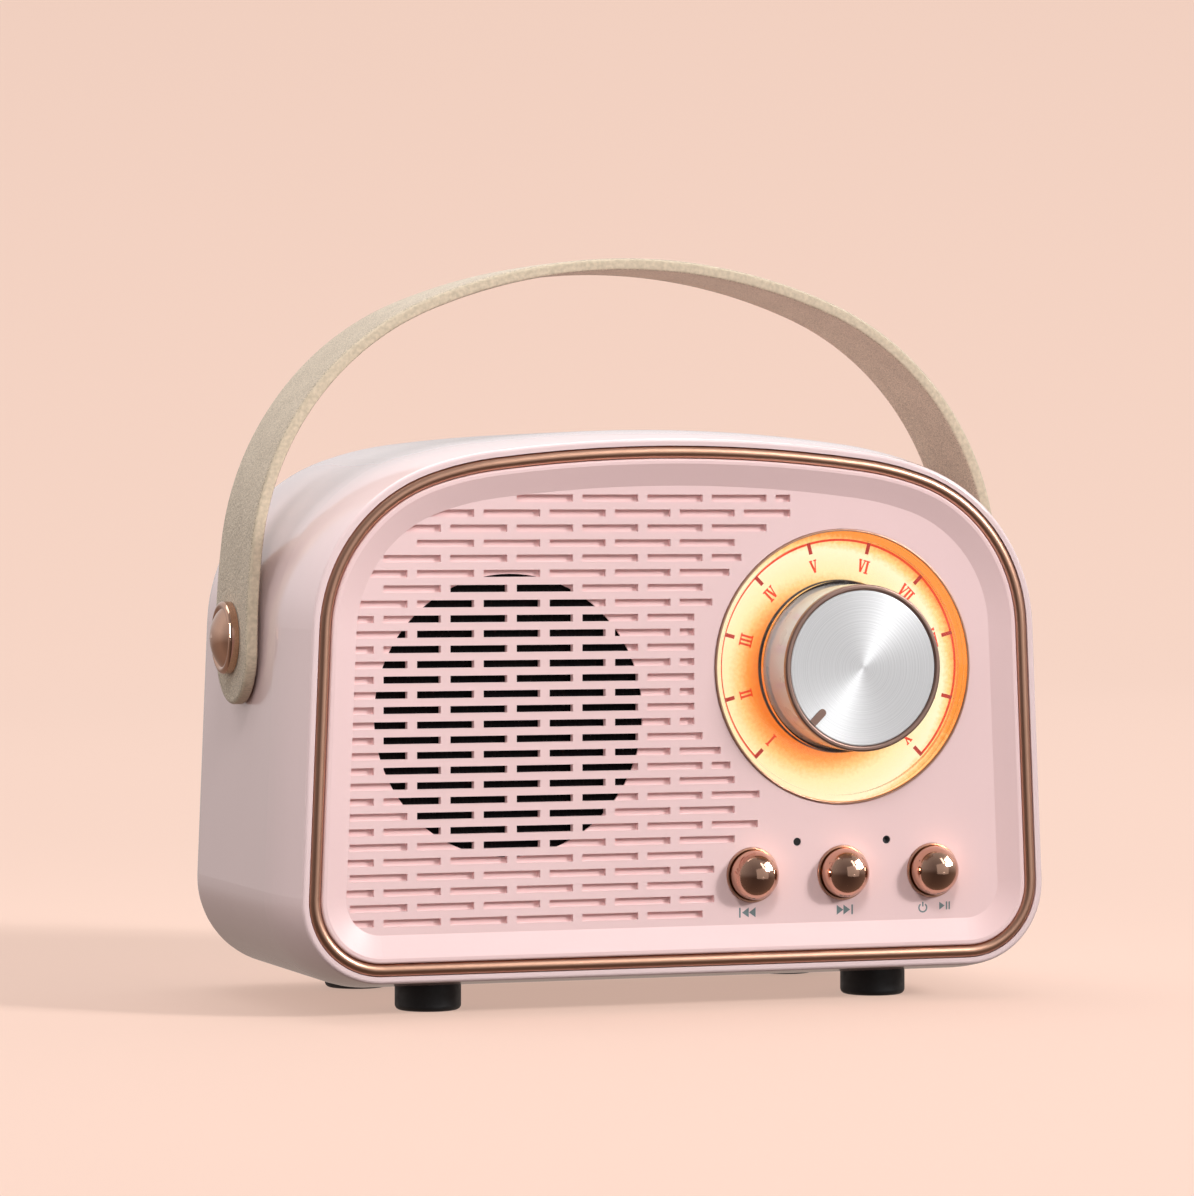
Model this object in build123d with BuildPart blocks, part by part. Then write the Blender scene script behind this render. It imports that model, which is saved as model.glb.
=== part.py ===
from build123d import *
import math
import os

# Portable mini radio: a moulded body with a slotted grille, a lit tuning-style
# volume dial, three domed buttons and a riveted leather carrying strap.
#
# Millimetres. +X is the listener's right, +Y runs from the front to the back, +Z is up.
# The origin is under the middle of the whole radio, at the bottom of its feet.
# "Depth" is the distance behind the flat face of the grille; it is negative in front of it.
# "Grow" is the distance outside the centre line of the trim ring; it is negative inside it.

os.makedirs("parts", exist_ok=True)

# ---------------------------------------------------------------- driving dimensions
TOTAL_DEPTH = 59.0  # from the knob's face to the back rim
KNOB_REACH = 7.0  # the knob's face stands this far in front of the grille
BACK = TOTAL_DEPTH - KNOB_REACH  # depth of the back rim
PANEL_Y = KNOB_REACH - TOTAL_DEPTH / 2

# Body outline, along the trim ring's centre line
TOP_Z = 72.85
BOTTOM_Z = 6.28
TOP_R = 200.0
TOP_TURN = 7.4  # degrees from the vertical at which the top arc ends
SHOULDER_R = 43.0
SHOULDER_TURN = 19.2
CORNER_R = 21.25
SIDE_LEAN = 2.28
LOWER_R = 9.0

# Body walls
RING_HALF = 0.8
RING_BASE = 1.2  # depth of the seat behind the trim ring
GAP = 0.05  # assembly gap between fixed neighbours
LIP_GROW = 1.8
CROWN_GROW = 3.1
CROWN_DEPTH = 12.0
WALL = 2.3
BACK_R = 7.5
RIB_DEPTH = 4.0
RIB_THICK = 1.6
LEDGE_DEPTH = 50.2
LEDGE_THICK = 1.6
LEDGE_GROW = -5.7

# Front panel
RIM_DEPTH = -1.1
PANEL_THICK = 2.6
DISH_TOP_GROW = -1.5
DISH_FLOOR_GROW = -4.4
SKIRT_GROW = -3.0

# Grille: rows of short slots, every second row shifted by half a pitch
ROWS = 29
TOP_ROW_Z = 66.82
ROW_PITCH = 1.95
SLOT_PITCH = 9.02
SLOT_LENGTH = 7.73
SLOT_HEIGHT = 0.93
SLOT_DEPTH = 0.7
OPEN_SLOT_R = 18.35  # slots within this distance of the speaker go right through
SLOT_END_X = 3.22  # right end of one slot in the top row
SHORTEST_SLOT = 2.0

# Speaker
SPEAKER = Vector(-23.3, 38.65)
POCKET_R = 18.55
POCKET_DEPTH = 1.0
FLANGE_DEPTH = 3.4
SPEAKER_HALF = 19.6
SPEAKER_HOLES = 16.6

# Volume dial and knob
DIAL = Vector(23.17, 44.5)
DIAL_R = 18.3
LENS_R = 17.9
LENS_HOLE_R = 11.4
SCALE_DEPTH = 2.0
KNOB_R = 11.0
SHAFT_R = 3.0
BUSH_R = 3.5
RUNNING = 0.05  # radial clearance of a running fit
DIAL_MARGIN = 20.5

# Buttons
BUTTON_X = {"previous": 10.2, "next": 23.1, "power": 36.0}
BUTTON_Z = 17.2
CAP_R = 3.27
COLLAR_IN = 3.33
COLLAR_OUT = 3.65
CAP_FLANGE_R = 4.7
PLUNGER_R = 1.7
STATUS_LIGHT = Vector(16.6, 21.4)
MICROPHONE = Vector(29.4, 21.4)

# Control board behind the dial and the buttons
BOARD_THICK = 1.6
CONTROL_DEPTH = 9.95
CONTROL_LEFT, CONTROL_RIGHT = 4.0, 43.0
CONTROL_LOW, CONTROL_HIGH = 12.0, 63.0
CONTROL_POSTS = [Vector(6.8, 60.4), Vector(40.6, 57.6), Vector(6.8, 26.0), Vector(40.0, 25.4)]

# Battery tray and main board, carried by the rear cover
COVER_INNER = LEDGE_DEPTH + GAP
COVER_OUTER = BACK - 0.3
CELL_R = 9.2
CELL_LENGTH = 65.0
CELL_DEPTH = 38.0
CELL_Z = 23.0
TRAY_HALF = 36.0
TRAY_WALL = 1.3
TRAY_EARS = [Vector(x, 27.5) for x in (-39.6, 39.6)]
EAR_DEPTH = 44.0
SHELF_Z = 34.4
MAIN_FRONT, MAIN_BACK = 27.0, 49.9
MAIN_HALF = 37.0
MAIN_SCREW_X = 30.0
MAIN_SCREW_DEPTH = 44.5
USB_X, JACK_X, CARD_X = 0.0, -16.0, 17.0
JACK_Z = SHELF_Z + BOARD_THICK + 2.9
JACK_R = 1.78
JACK_LENGTH = 13.5

# Feet, strap and rivets
FOOT_X = 31.5
FOOT_DEPTHS = (9.8, 42.0)
FOOT_R = 4.35
FOOT_TOP = 4.2
PIVOT_DEPTH = 25.0
PIVOT_Z = 48.4
STRAP_WIDTH = 15.5
STRAP_THICK = 1.7
STRAP_OUT_X = 54.1
STRAP_BEND_Z = 47.6
LEG_R, LEG_TURN = 119.3, 6.6
HIP_R, HIP_TURN = 39.7, 67.4
PAD_X = 52.05
RIVET_R = 4.8
RIVET_SHANK_R = 1.6


# ---------------------------------------------------------------- helpers
def polar(radius, degrees):
    """Vector of a given length at an angle above the local x axis."""
    return Vector(radius * math.cos(math.radians(degrees)), radius * math.sin(math.radians(degrees)))


def xy(point):
    """The point as a pair, which a builder reads in its own plane."""
    return (point.X, point.Y)


TOP_C = Vector(0, TOP_Z - TOP_R)
SHOULDER_C = TOP_C + polar(TOP_R - SHOULDER_R, 90 - TOP_TURN)
CORNER_C = SHOULDER_C + polar(SHOULDER_R - CORNER_R, 90 - SHOULDER_TURN)
SIDE_NORMAL = polar(1, SIDE_LEAN)
SIDE_REACH = CORNER_C.dot(SIDE_NORMAL) + CORNER_R
LOWER_Z = BOTTOM_Z + LOWER_R
LOWER_C = Vector((SIDE_REACH - LOWER_R - LOWER_Z * SIDE_NORMAL.Y) / SIDE_NORMAL.X, LOWER_Z)

# Screw places in the four corners of the body, right-hand side
PANEL_SCREWS = [CORNER_C + polar(16.4, 60), LOWER_C + polar(4.2, -45)]
EAR_R = 3.6
COVER_SCREWS = [CORNER_C + polar(13.0, 45), LOWER_C + polar(0.8, -45)]


def both_sides(points):
    """The given points and their mirror images on the left."""
    return points + [Vector(-p.X, p.Y) for p in points]


def facing(depth, centre=Vector(0, 0)):
    """Plane looking out of the front at a depth; local x is right and local y is up."""
    return Plane(origin=(centre.X, PANEL_Y + depth, centre.Y), x_dir=(1, 0, 0), z_dir=(0, -1, 0))


def lathe_plane(centre):
    """Plane through a front-to-back axis; local x is the radius and local y is the depth."""
    return Plane(origin=(centre.X, PANEL_Y, centre.Y))


def lathe_axis(centre):
    """Front-to-back axis through a point of the front."""
    return Axis((centre.X, PANEL_Y, centre.Y), (0, 1, 0))


def turned(centre, points):
    """Half section for a turned piece, from (radius, depth) points."""
    with BuildSketch(lathe_plane(centre)) as section:
        with BuildLine():
            Polyline(*points, close=True)
        make_face()
    return section.sketch


def cap_arc(pole, radius, reach, rise=1):
    """Arc of a dome's section, from its pole on the axis out to a reach."""
    angle = math.asin(reach / radius)
    turns = (0, angle / 2, angle)
    points = [(radius * math.sin(a), pole + rise * radius * (1 - math.cos(a))) for a in turns]
    return ThreePointArc(*points)


def washer(centre, inner, outer, front, back):
    """Half section of a plain ring between two depths."""
    return turned(centre, [(inner, front), (outer, front), (outer, back), (inner, back)])


def discs(centres, radius, depth):
    """Round faces of one radius at a depth."""
    with BuildSketch(facing(depth)) as faces:
        with Locations(*[(c.X, c.Y) for c in centres]):
            Circle(radius)
    return faces.sketch


def panel_rectangle(left, right, low, high, depth, corner=0.0):
    """Upright rectangle at a depth, with rounded corners where a radius is given."""
    with BuildSketch(facing(depth)) as face:
        with Locations(((left + right) / 2, (low + high) / 2)):
            if corner:
                RectangleRounded(right - left, high - low, corner)
            else:
                Rectangle(right - left, high - low)
    return face.sketch


def floor_rectangle(left, right, front, back, z):
    """Level rectangle at a height, between two depths."""
    with BuildSketch(Plane.XY.offset(z)) as face:
        with Locations(((left + right) / 2, PANEL_Y + (front + back) / 2)):
            Rectangle(right - left, back - front)
    return face.sketch


def half_outline(grow):
    """Right half of the body outline, from the bottom centre to the top centre."""
    Line((0, BOTTOM_Z - grow), (LOWER_C.X, BOTTOM_Z - grow))
    CenterArc(xy(LOWER_C), LOWER_R + grow, -90, 90 + SIDE_LEAN)
    side_top = CORNER_C + polar(CORNER_R + grow, SIDE_LEAN)
    side_low = LOWER_C + polar(LOWER_R + grow, SIDE_LEAN)
    Line(xy(side_low), xy(side_top))
    CenterArc(xy(CORNER_C), CORNER_R + grow, SIDE_LEAN, 90 - SHOULDER_TURN - SIDE_LEAN)
    CenterArc(xy(SHOULDER_C), SHOULDER_R + grow, 90 - SHOULDER_TURN, SHOULDER_TURN - TOP_TURN)
    CenterArc(xy(TOP_C), TOP_R + grow, 90 - TOP_TURN, TOP_TURN)


def outline(grow, depth):
    """Whole body outline as a face at a depth."""
    with BuildSketch(facing(depth)) as face:
        with BuildLine():
            half_outline(grow)
            mirror(about=Plane.YZ)
        make_face()
    return face.sketch


def rim_path():
    """Path that carries a wall section round the right half of the body."""
    with BuildLine(facing(0)) as path:
        half_outline(0)
    return path.wire()


# Sections of the body's walls are drawn here as (depth, grow) points
RIM_SECTION = Plane(origin=(0, PANEL_Y, BOTTOM_Z), x_dir=(0, 1, 0), z_dir=(-1, 0, 0))


def finish(builder, node):
    """Label a piece and write its file."""
    builder.part.label = node
    export_step(builder.part, f"parts/{node}.step")


# ---------------------------------------------------------------- body shell and rear cover
BACK_ARC_C = (BACK - BACK_R, CROWN_GROW - BACK_R)
INNER_GROW = CROWN_GROW - WALL
LEDGE_FRONT = LEDGE_DEPTH - LEDGE_THICK
LEDGE_ANGLE = math.degrees(math.acos((LEDGE_FRONT - BACK_ARC_C[0]) / (BACK_R - WALL)))
POST_FRONT = 38.0
POST_R = 3.0

with BuildPart() as housing_shell:
    with BuildSketch(RIM_SECTION):
        with BuildLine():
            inner_back = CenterArc(BACK_ARC_C, BACK_R - WALL, LEDGE_ANGLE, 90 - LEDGE_ANGLE)
            Polyline(
                inner_back @ 0,
                (LEDGE_FRONT, LEDGE_GROW),
                (LEDGE_DEPTH, LEDGE_GROW),
                (LEDGE_DEPTH, BACK_ARC_C[1]),
                (BACK, BACK_ARC_C[1]),
            )
            CenterArc(BACK_ARC_C, BACK_R, 0, 90)
            Line((BACK_ARC_C[0], CROWN_GROW), (CROWN_DEPTH, CROWN_GROW))
            crown = TangentArc((CROWN_DEPTH, CROWN_GROW), (-0.6, LIP_GROW), tangent=(-1, 0))
            lip = TangentArc(crown @ 1, (-1.0, LIP_GROW - 0.45), tangent=crown % 1)
            Polyline(
                lip @ 1,
                (-1.0, RING_HALF + GAP),
                (RIB_DEPTH, RING_HALF + GAP),
                (RIB_DEPTH, -1.6),
                (RIB_DEPTH + RIB_THICK, -1.6),
                (RIB_DEPTH + RIB_THICK, INNER_GROW),
                inner_back @ 1,
            )
        make_face()
    sweep(path=rim_path())
    mirror(about=Plane.YZ)
    # ears that take the front panel's screws
    extrude(discs(both_sides(PANEL_SCREWS), EAR_R, RIB_DEPTH), amount=-RIB_THICK)
    # posts that take the rear cover's screws, each with a web to the wall
    for centre, hub, reach, angle in (
        (CORNER_C, COVER_SCREWS[0], CORNER_R + 1.3, 45),
        (LOWER_C, COVER_SCREWS[1], LOWER_R + 1.3, -45),
    ):
        web = centre + polar(reach, angle)
        middle = (hub + web) * 0.5
        for side in (1, -1):
            with BuildSketch(facing(POST_FRONT)):
                with Locations(Location((side * middle.X, middle.Y), side * angle)):
                    Rectangle((web - hub).length, 2.0)
            extrude(amount=-(LEDGE_FRONT - POST_FRONT))
    extrude(discs(both_sides(COVER_SCREWS), POST_R, POST_FRONT), amount=-(LEDGE_DEPTH - POST_FRONT))
    extrude(discs(both_sides(COVER_SCREWS), 1.02, LEDGE_DEPTH), amount=9, mode=Mode.SUBTRACT)
    extrude(discs(both_sides(PANEL_SCREWS), 1.15, RIB_DEPTH), amount=-RIB_THICK, mode=Mode.SUBTRACT)
    # pads for the strap's rivets
    for side in (1, -1):
        pad = Plane(
            origin=(side * 47.8, PANEL_Y + PIVOT_DEPTH, PIVOT_Z), x_dir=(0, 1, 0), z_dir=(side, 0, 0)
        )
        with BuildSketch(pad):
            Circle(4.5)
        extrude(amount=PAD_X - 47.8)
        with BuildSketch(pad):
            Circle(RIVET_SHANK_R)
        extrude(amount=PAD_X - 47.8, mode=Mode.SUBTRACT)
    # seats for the feet
    with BuildSketch(Plane.XY.offset(0)):
        for depth in FOOT_DEPTHS:
            with Locations((FOOT_X, PANEL_Y + depth), (-FOOT_X, PANEL_Y + depth)):
                Circle(FOOT_R + GAP)
    extrude(amount=FOOT_TOP, mode=Mode.SUBTRACT)
finish(housing_shell, "housing_shell")

with BuildPart() as rear_cover:
    extrude(outline(BACK_ARC_C[1] - GAP, COVER_OUTER), amount=COVER_OUTER - COVER_INNER)
    fillet(rear_cover.edges().group_by(Axis.Y)[-1], radius=0.5)
    # bosses for the battery tray, and two shelves under the main board
    extrude(discs(TRAY_EARS, 2.6, COVER_INNER), amount=COVER_INNER - EAR_DEPTH)
    extrude(discs(TRAY_EARS, 1.02, COVER_INNER), amount=COVER_INNER - EAR_DEPTH, mode=Mode.SUBTRACT)
    for side in (1, -1):
        shelf = sorted((side * (MAIN_SCREW_X - 4), side * (MAIN_SCREW_X + 4)))
        extrude(
            floor_rectangle(*shelf, MAIN_SCREW_DEPTH - 3.5, COVER_INNER, SHELF_Z),
            amount=-2.0,
        )
        with BuildSketch(Plane.XY.offset(SHELF_Z)):
            with Locations((side * MAIN_SCREW_X, PANEL_Y + MAIN_SCREW_DEPTH)):
                Circle(0.92)
        extrude(amount=-2.0, mode=Mode.SUBTRACT)
    # screw holes with sunk seats
    extrude(discs(both_sides(COVER_SCREWS), 1.15, COVER_OUTER), amount=5, mode=Mode.SUBTRACT)
    extrude(discs(both_sides(COVER_SCREWS), 2.2, COVER_OUTER), amount=1.05, mode=Mode.SUBTRACT)
    # openings for the charging socket, the audio socket and the card
    port_low = SHELF_Z + BOARD_THICK
    extrude(
        panel_rectangle(USB_X - 4.75, USB_X + 4.75, port_low - 0.2, port_low + 3.6, COVER_OUTER, 1.5),
        amount=2,
        mode=Mode.SUBTRACT,
    )
    extrude(discs([Vector(JACK_X, JACK_Z)], 3.1, COVER_OUTER), amount=2, mode=Mode.SUBTRACT)
    extrude(
        panel_rectangle(CARD_X - 6.3, CARD_X + 6.3, port_low - 0.1, port_low + 1.6, COVER_OUTER, 0.4),
        amount=2,
        mode=Mode.SUBTRACT,
    )
finish(rear_cover, "rear_cover")


def screws(centres, seat, head_r, head_height, shank_r, length, backwards=True):
    """Cross-head screws whose heads lie on a seat depth and whose shanks run the other way."""
    away = -1 if backwards else 1
    with BuildPart() as group:
        extrude(discs(centres, head_r, seat), amount=away * head_height)
        fillet(
            group.edges().filter_by(GeomType.CIRCLE).group_by(Axis.Y)[-1 if backwards else 0],
            radius=0.25 * head_height,
        )
        extrude(discs(centres, shank_r, seat), amount=-away * length)
        for turn in (0, 90):
            with BuildSketch(facing(seat - away * head_height)):
                for centre in centres:
                    with Locations(Location(xy(centre), turn)):
                        Rectangle(1.3 * head_r, 0.3 * head_r)
            extrude(amount=-away * 0.55 * head_height, mode=Mode.SUBTRACT)
    return group


cover_screws = screws(both_sides(COVER_SCREWS), COVER_OUTER - 1.05, 1.95, 0.95, 1.0, 9.0)
finish(cover_screws, "rear_cover_screws")

# ---------------------------------------------------------------- trim ring and front panel
with BuildPart() as trim_ring:
    with BuildSketch(RIM_SECTION):
        with BuildLine():
            ThreePointArc((-0.5, RING_HALF), (-0.5 - RING_HALF, 0), (-0.5, -RING_HALF))
            Polyline(
                (-0.5, -RING_HALF),
                (RING_BASE - GAP, -RING_HALF),
                (RING_BASE - GAP, RING_HALF),
                (-0.5, RING_HALF),
            )
        make_face()
    sweep(path=rim_path())
    mirror(about=Plane.YZ)
finish(trim_ring, "trim_ring")


def slot_limit(z):
    """Right-hand end of the grille at a height: it stops short of the dial and the buttons."""
    above_dial = abs(z - DIAL.Y)
    if z < 21.0:
        return 4.85
    if z < 26.5:
        return 11.0
    if above_dial < 8.0:
        return 2.05
    if above_dial > 20.0:
        return 15.6
    return DIAL.X - math.sqrt(DIAL_MARGIN**2 - above_dial**2)


with BuildPart() as front_panel:
    extrude(outline(RING_HALF, RING_BASE), amount=-(RIB_DEPTH - GAP - RING_BASE))
    extrude(outline(-RING_HALF - GAP, RIM_DEPTH), amount=-(RING_BASE - RIM_DEPTH))
    fillet(front_panel.edges().group_by(Axis.Y)[0], radius=0.3)
    extrude(outline(SKIRT_GROW, RIB_DEPTH), amount=RIB_DEPTH - PANEL_THICK, mode=Mode.SUBTRACT)
    loft(
        [outline(DISH_TOP_GROW, RIM_DEPTH).face(), outline(DISH_FLOOR_GROW, 0).face()],
        mode=Mode.SUBTRACT,
        ruled=True,
    )
    # grille slots, closed at the bottom except over the speaker pocket
    with BuildSketch(facing(0)) as slots:
        for row in range(ROWS):
            row_z = TOP_ROW_Z - ROW_PITCH * row
            shift = SLOT_PITCH / 2 * (row % 2)
            for column in range(-6, 3):
                end = SLOT_END_X + shift + SLOT_PITCH * column
                start = end - SLOT_LENGTH
                end = min(end, slot_limit(row_z))
                if end - start >= SHORTEST_SLOT:
                    with Locations(((start + end) / 2, row_z)):
                        Rectangle(end - start, SLOT_HEIGHT)
        add(outline(DISH_FLOOR_GROW, 0), mode=Mode.INTERSECT)
    long_slots = [f for f in slots.sketch.faces() if f.area >= SHORTEST_SLOT * SLOT_HEIGHT]
    extrude(long_slots, amount=-SLOT_DEPTH, mode=Mode.SUBTRACT)
    extrude(discs([SPEAKER], POCKET_R, PANEL_THICK), amount=PANEL_THICK - POCKET_DEPTH, mode=Mode.SUBTRACT)
    with BuildSketch(facing(0)) as open_slots:
        add(long_slots)
        add(discs([SPEAKER], OPEN_SLOT_R, 0), mode=Mode.INTERSECT)
    extrude(open_slots.sketch, amount=-(POCKET_DEPTH + 0.1), mode=Mode.SUBTRACT)
    # posts for the speaker and the control board
    speaker_posts = [SPEAKER + Vector(x, y) * SPEAKER_HOLES for x in (-1, 1) for y in (-1, 1)]
    extrude(discs(speaker_posts, 2.3, PANEL_THICK), amount=-(FLANGE_DEPTH - PANEL_THICK))
    extrude(discs(CONTROL_POSTS, 2.5, PANEL_THICK), amount=-(CONTROL_DEPTH - PANEL_THICK))
    extrude(discs(both_sides(PANEL_SCREWS), 3.2, PANEL_THICK), amount=-(RIB_DEPTH - GAP - PANEL_THICK))
    extrude(discs(speaker_posts, 0.92, 1.3), amount=-(FLANGE_DEPTH - 1.3), mode=Mode.SUBTRACT)
    extrude(discs(CONTROL_POSTS, 1.02, 3.0), amount=-(CONTROL_DEPTH - 3.0), mode=Mode.SUBTRACT)
    extrude(discs(both_sides(PANEL_SCREWS), 1.02, 1.3), amount=-(RIB_DEPTH - 1.3), mode=Mode.SUBTRACT)
    # openings for the dial, the buttons, the status light and the microphone
    extrude(discs([DIAL], DIAL_R, 0), amount=-PANEL_THICK, mode=Mode.SUBTRACT)
    buttons = [Vector(x, BUTTON_Z) for x in BUTTON_X.values()]
    extrude(discs(buttons, COLLAR_OUT, 0), amount=-PANEL_THICK, mode=Mode.SUBTRACT)
    extrude(discs([STATUS_LIGHT, MICROPHONE], 0.55, 0), amount=-PANEL_THICK, mode=Mode.SUBTRACT)
finish(front_panel, "front_panel")

panel_screws = screws(both_sides(PANEL_SCREWS), RIB_DEPTH + RIB_THICK, 1.9, 1.3, 1.0, 4.2)
finish(panel_screws, "front_panel_screws")

# ---------------------------------------------------------------- speaker
with BuildPart() as speaker_cloth:
    revolve(washer(SPEAKER, 0, POCKET_R - 0.1, POCKET_DEPTH, POCKET_DEPTH + 0.3), axis=lathe_axis(SPEAKER))
finish(speaker_cloth, "speaker_cloth")

with BuildPart() as speaker_gasket:
    revolve(washer(SPEAKER, 18.6, 19.5, PANEL_THICK, FLANGE_DEPTH), axis=lathe_axis(SPEAKER))
finish(speaker_gasket, "speaker_gasket")

with BuildPart() as speaker_basket:
    left, right = SPEAKER.X - SPEAKER_HALF, SPEAKER.X + SPEAKER_HALF
    low, high = SPEAKER.Y - SPEAKER_HALF, SPEAKER.Y + SPEAKER_HALF
    extrude(panel_rectangle(left, right, low, high, FLANGE_DEPTH, 4.0), amount=-1.0)
    extrude(discs([SPEAKER], 16.9, FLANGE_DEPTH), amount=-1.0, mode=Mode.SUBTRACT)
    extrude(discs(speaker_posts, 1.1, FLANGE_DEPTH), amount=-1.0, mode=Mode.SUBTRACT)
    cup = [(16.9, 4.4), (18.1, 4.4), (14.2, 12.0), (14.2, 13.0), (7.0, 13.0), (7.0, 12.0), (13.0, 12.0)]
    revolve(turned(SPEAKER, cup), axis=lathe_axis(SPEAKER))
    # four windows in the cup
    with BuildSketch(facing(6.2, SPEAKER)):
        with PolarLocations(15.5, 4, start_angle=0):
            Rectangle(8.0, 12.0)
    extrude(amount=-4.6, mode=Mode.SUBTRACT)
    # terminal tab
    tab = panel_rectangle(right - 2.0, right - 1.2, SPEAKER.Y - 4, SPEAKER.Y + 4, FLANGE_DEPTH + 1.0)
    extrude(tab, amount=-4.0)
finish(speaker_basket, "speaker_basket")

finish(screws(speaker_posts, FLANGE_DEPTH + 1.0, 1.7, 1.1, 0.9, 2.9), "speaker_screws")

COIL_OUT = 6.65
CONE_OUT = 15.0
with BuildPart() as speaker_surround:
    with BuildSketch(lathe_plane(SPEAKER)):
        with BuildLine():
            outer_roll = ThreePointArc((17.6, FLANGE_DEPTH - 0.35), (16.35, 2.0), (CONE_OUT + GAP, 3.35))
            inner_roll = ThreePointArc((17.25, FLANGE_DEPTH - 0.05), (16.35, 2.35), (15.4, 3.35))
            Line(outer_roll @ 1, inner_roll @ 1)
            Polyline(
                outer_roll @ 0,
                (18.5, FLANGE_DEPTH - 0.35),
                (18.5, FLANGE_DEPTH - 0.05),
                inner_roll @ 0,
            )
        make_face()
    revolve(axis=lathe_axis(SPEAKER))
finish(speaker_surround, "speaker_surround")

with BuildPart() as speaker_cone:
    cone = [(CONE_OUT, 3.3), (CONE_OUT, 3.7), (COIL_OUT, 9.4), (COIL_OUT, 8.95)]
    revolve(turned(SPEAKER, cone), axis=lathe_axis(SPEAKER))
finish(speaker_cone, "speaker_cone")

with BuildPart() as speaker_dust_cap:
    with BuildSketch(lathe_plane(SPEAKER)):
        with BuildLine():
            front = cap_arc(5.55, 13.7, 7.8)
            back = cap_arc(5.9, 13.35, 7.6)
            Line(front @ 0, back @ 0)
            Line(front @ 1, back @ 1)
        make_face()
    revolve(axis=lathe_axis(SPEAKER))
finish(speaker_dust_cap, "speaker_dust_cap")

with BuildPart() as voice_coil:
    revolve(washer(SPEAKER, 6.2, COIL_OUT, 9.45, 17.0), axis=lathe_axis(SPEAKER))
finish(voice_coil, "voice_coil")

with BuildPart() as speaker_spider:
    waves = [(COIL_OUT + 0.1 + 0.88 * i, 10.4 + 0.35 * (i % 2)) for i in range(8)]
    underside = [(radius, depth + 0.25) for radius, depth in reversed(waves)]
    revolve(turned(SPEAKER, waves + underside), axis=lathe_axis(SPEAKER))
finish(speaker_spider, "speaker_spider")

with BuildPart() as speaker_top_plate:
    revolve(washer(SPEAKER, 7.0, 12.5, 13.0, 15.0), axis=lathe_axis(SPEAKER))
finish(speaker_top_plate, "speaker_top_plate")

with BuildPart() as speaker_magnet:
    revolve(washer(SPEAKER, 8.0, 13.0, 15.0, 20.0), axis=lathe_axis(SPEAKER))
finish(speaker_magnet, "speaker_magnet")

with BuildPart() as speaker_pole:
    pole = [(0, 13.0), (5.9, 13.0), (5.9, 20.0), (12.5, 20.0), (12.5, 22.0), (0, 22.0)]
    revolve(turned(SPEAKER, pole), axis=lathe_axis(SPEAKER))
finish(speaker_pole, "speaker_pole")

# ---------------------------------------------------------------- dial
LIGHT_BOX_BACK = CONTROL_DEPTH - GAP
BODY_FRONT = 3.4
BUSH_FRONT = -1.0
SCALE_BACK = SCALE_DEPTH + 0.6

with BuildPart() as dial_bezel:
    bezel = [(LENS_R + GAP, -0.25), (DIAL_R - GAP, -0.25), (DIAL_R - GAP, SCALE_BACK), (LENS_R + GAP, SCALE_BACK)]
    revolve(turned(DIAL, bezel), axis=lathe_axis(DIAL))
    fillet(dial_bezel.edges().group_by(Axis.Y)[0], radius=0.12)
finish(dial_bezel, "dial_bezel")

with BuildPart() as dial_lens:
    lens = [(LENS_HOLE_R, 0), (LENS_R, 0), (LENS_R, 1.95), (LENS_R - 0.8, 1.95), (LENS_R - 0.8, 1.2)]
    revolve(turned(DIAL, lens + [(LENS_HOLE_R, 1.2)]), axis=lathe_axis(DIAL))
finish(dial_lens, "dial_lens")

with BuildPart() as dial_scale:
    revolve(washer(DIAL, BUSH_R + GAP, LENS_R, SCALE_DEPTH, SCALE_BACK), axis=lathe_axis(DIAL))
finish(dial_scale, "dial_scale")

with BuildPart() as dial_light_box:
    revolve(washer(DIAL, 16.4, 17.9, SCALE_BACK + GAP, LIGHT_BOX_BACK), axis=lathe_axis(DIAL))
finish(dial_light_box, "dial_light_box")

STATUS_LAMP_DEPTH = 8.7
with BuildPart() as lamps:
    with BuildSketch(facing(CONTROL_DEPTH - 0.8, DIAL)):
        with PolarLocations(13.2, 8, start_angle=22.5):
            Rectangle(2.8, 3.5)
    extrude(amount=-0.8)
    # the status lamp stands on the same board
    with BuildSketch(facing(STATUS_LAMP_DEPTH, STATUS_LIGHT)):
        Rectangle(2.0, 1.25)
    extrude(amount=-(CONTROL_DEPTH - STATUS_LAMP_DEPTH))
finish(lamps, "lamps")

with BuildPart() as volume_control:
    with BuildSketch(facing(BODY_FRONT, DIAL)):
        RectangleRounded(12.0, 12.0, 0.6)
    extrude(amount=-(CONTROL_DEPTH - BODY_FRONT))
    extrude(discs([DIAL], BUSH_R, BUSH_FRONT), amount=-(BODY_FRONT - BUSH_FRONT))
    extrude(discs([DIAL], SHAFT_R + RUNNING, BUSH_FRONT), amount=-7.0, mode=Mode.SUBTRACT)
finish(volume_control, "volume_control")

with BuildPart() as volume_control_nut:
    with BuildSketch(facing(0.2, DIAL)):
        RegularPolygon(5.0, 6, major_radius=False)
        Circle(BUSH_R + 0.02, mode=Mode.SUBTRACT)
    extrude(amount=-(SCALE_DEPTH - 0.2))
finish(volume_control_nut, "volume_control_nut")

# ---------------------------------------------------------------- knob
KNOB_FRONT = -KNOB_REACH
RING_BACK = KNOB_FRONT + 0.75
KNOB_BACK = 1.3
RING_IN = KNOB_R - 0.75

with BuildPart() as volume_shaft:
    extrude(discs([DIAL], SHAFT_R, RING_BACK + 1.0), amount=-(5.8 - RING_BACK - 1.0))
    # flat for the knob's hub
    with BuildSketch(facing(RING_BACK + 1.0, DIAL)):
        with Locations((0, SHAFT_R)):
            Rectangle(2 * SHAFT_R, 3.0)
    extrude(amount=-3.6, mode=Mode.SUBTRACT)
finish(volume_shaft, "volume_shaft")

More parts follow.
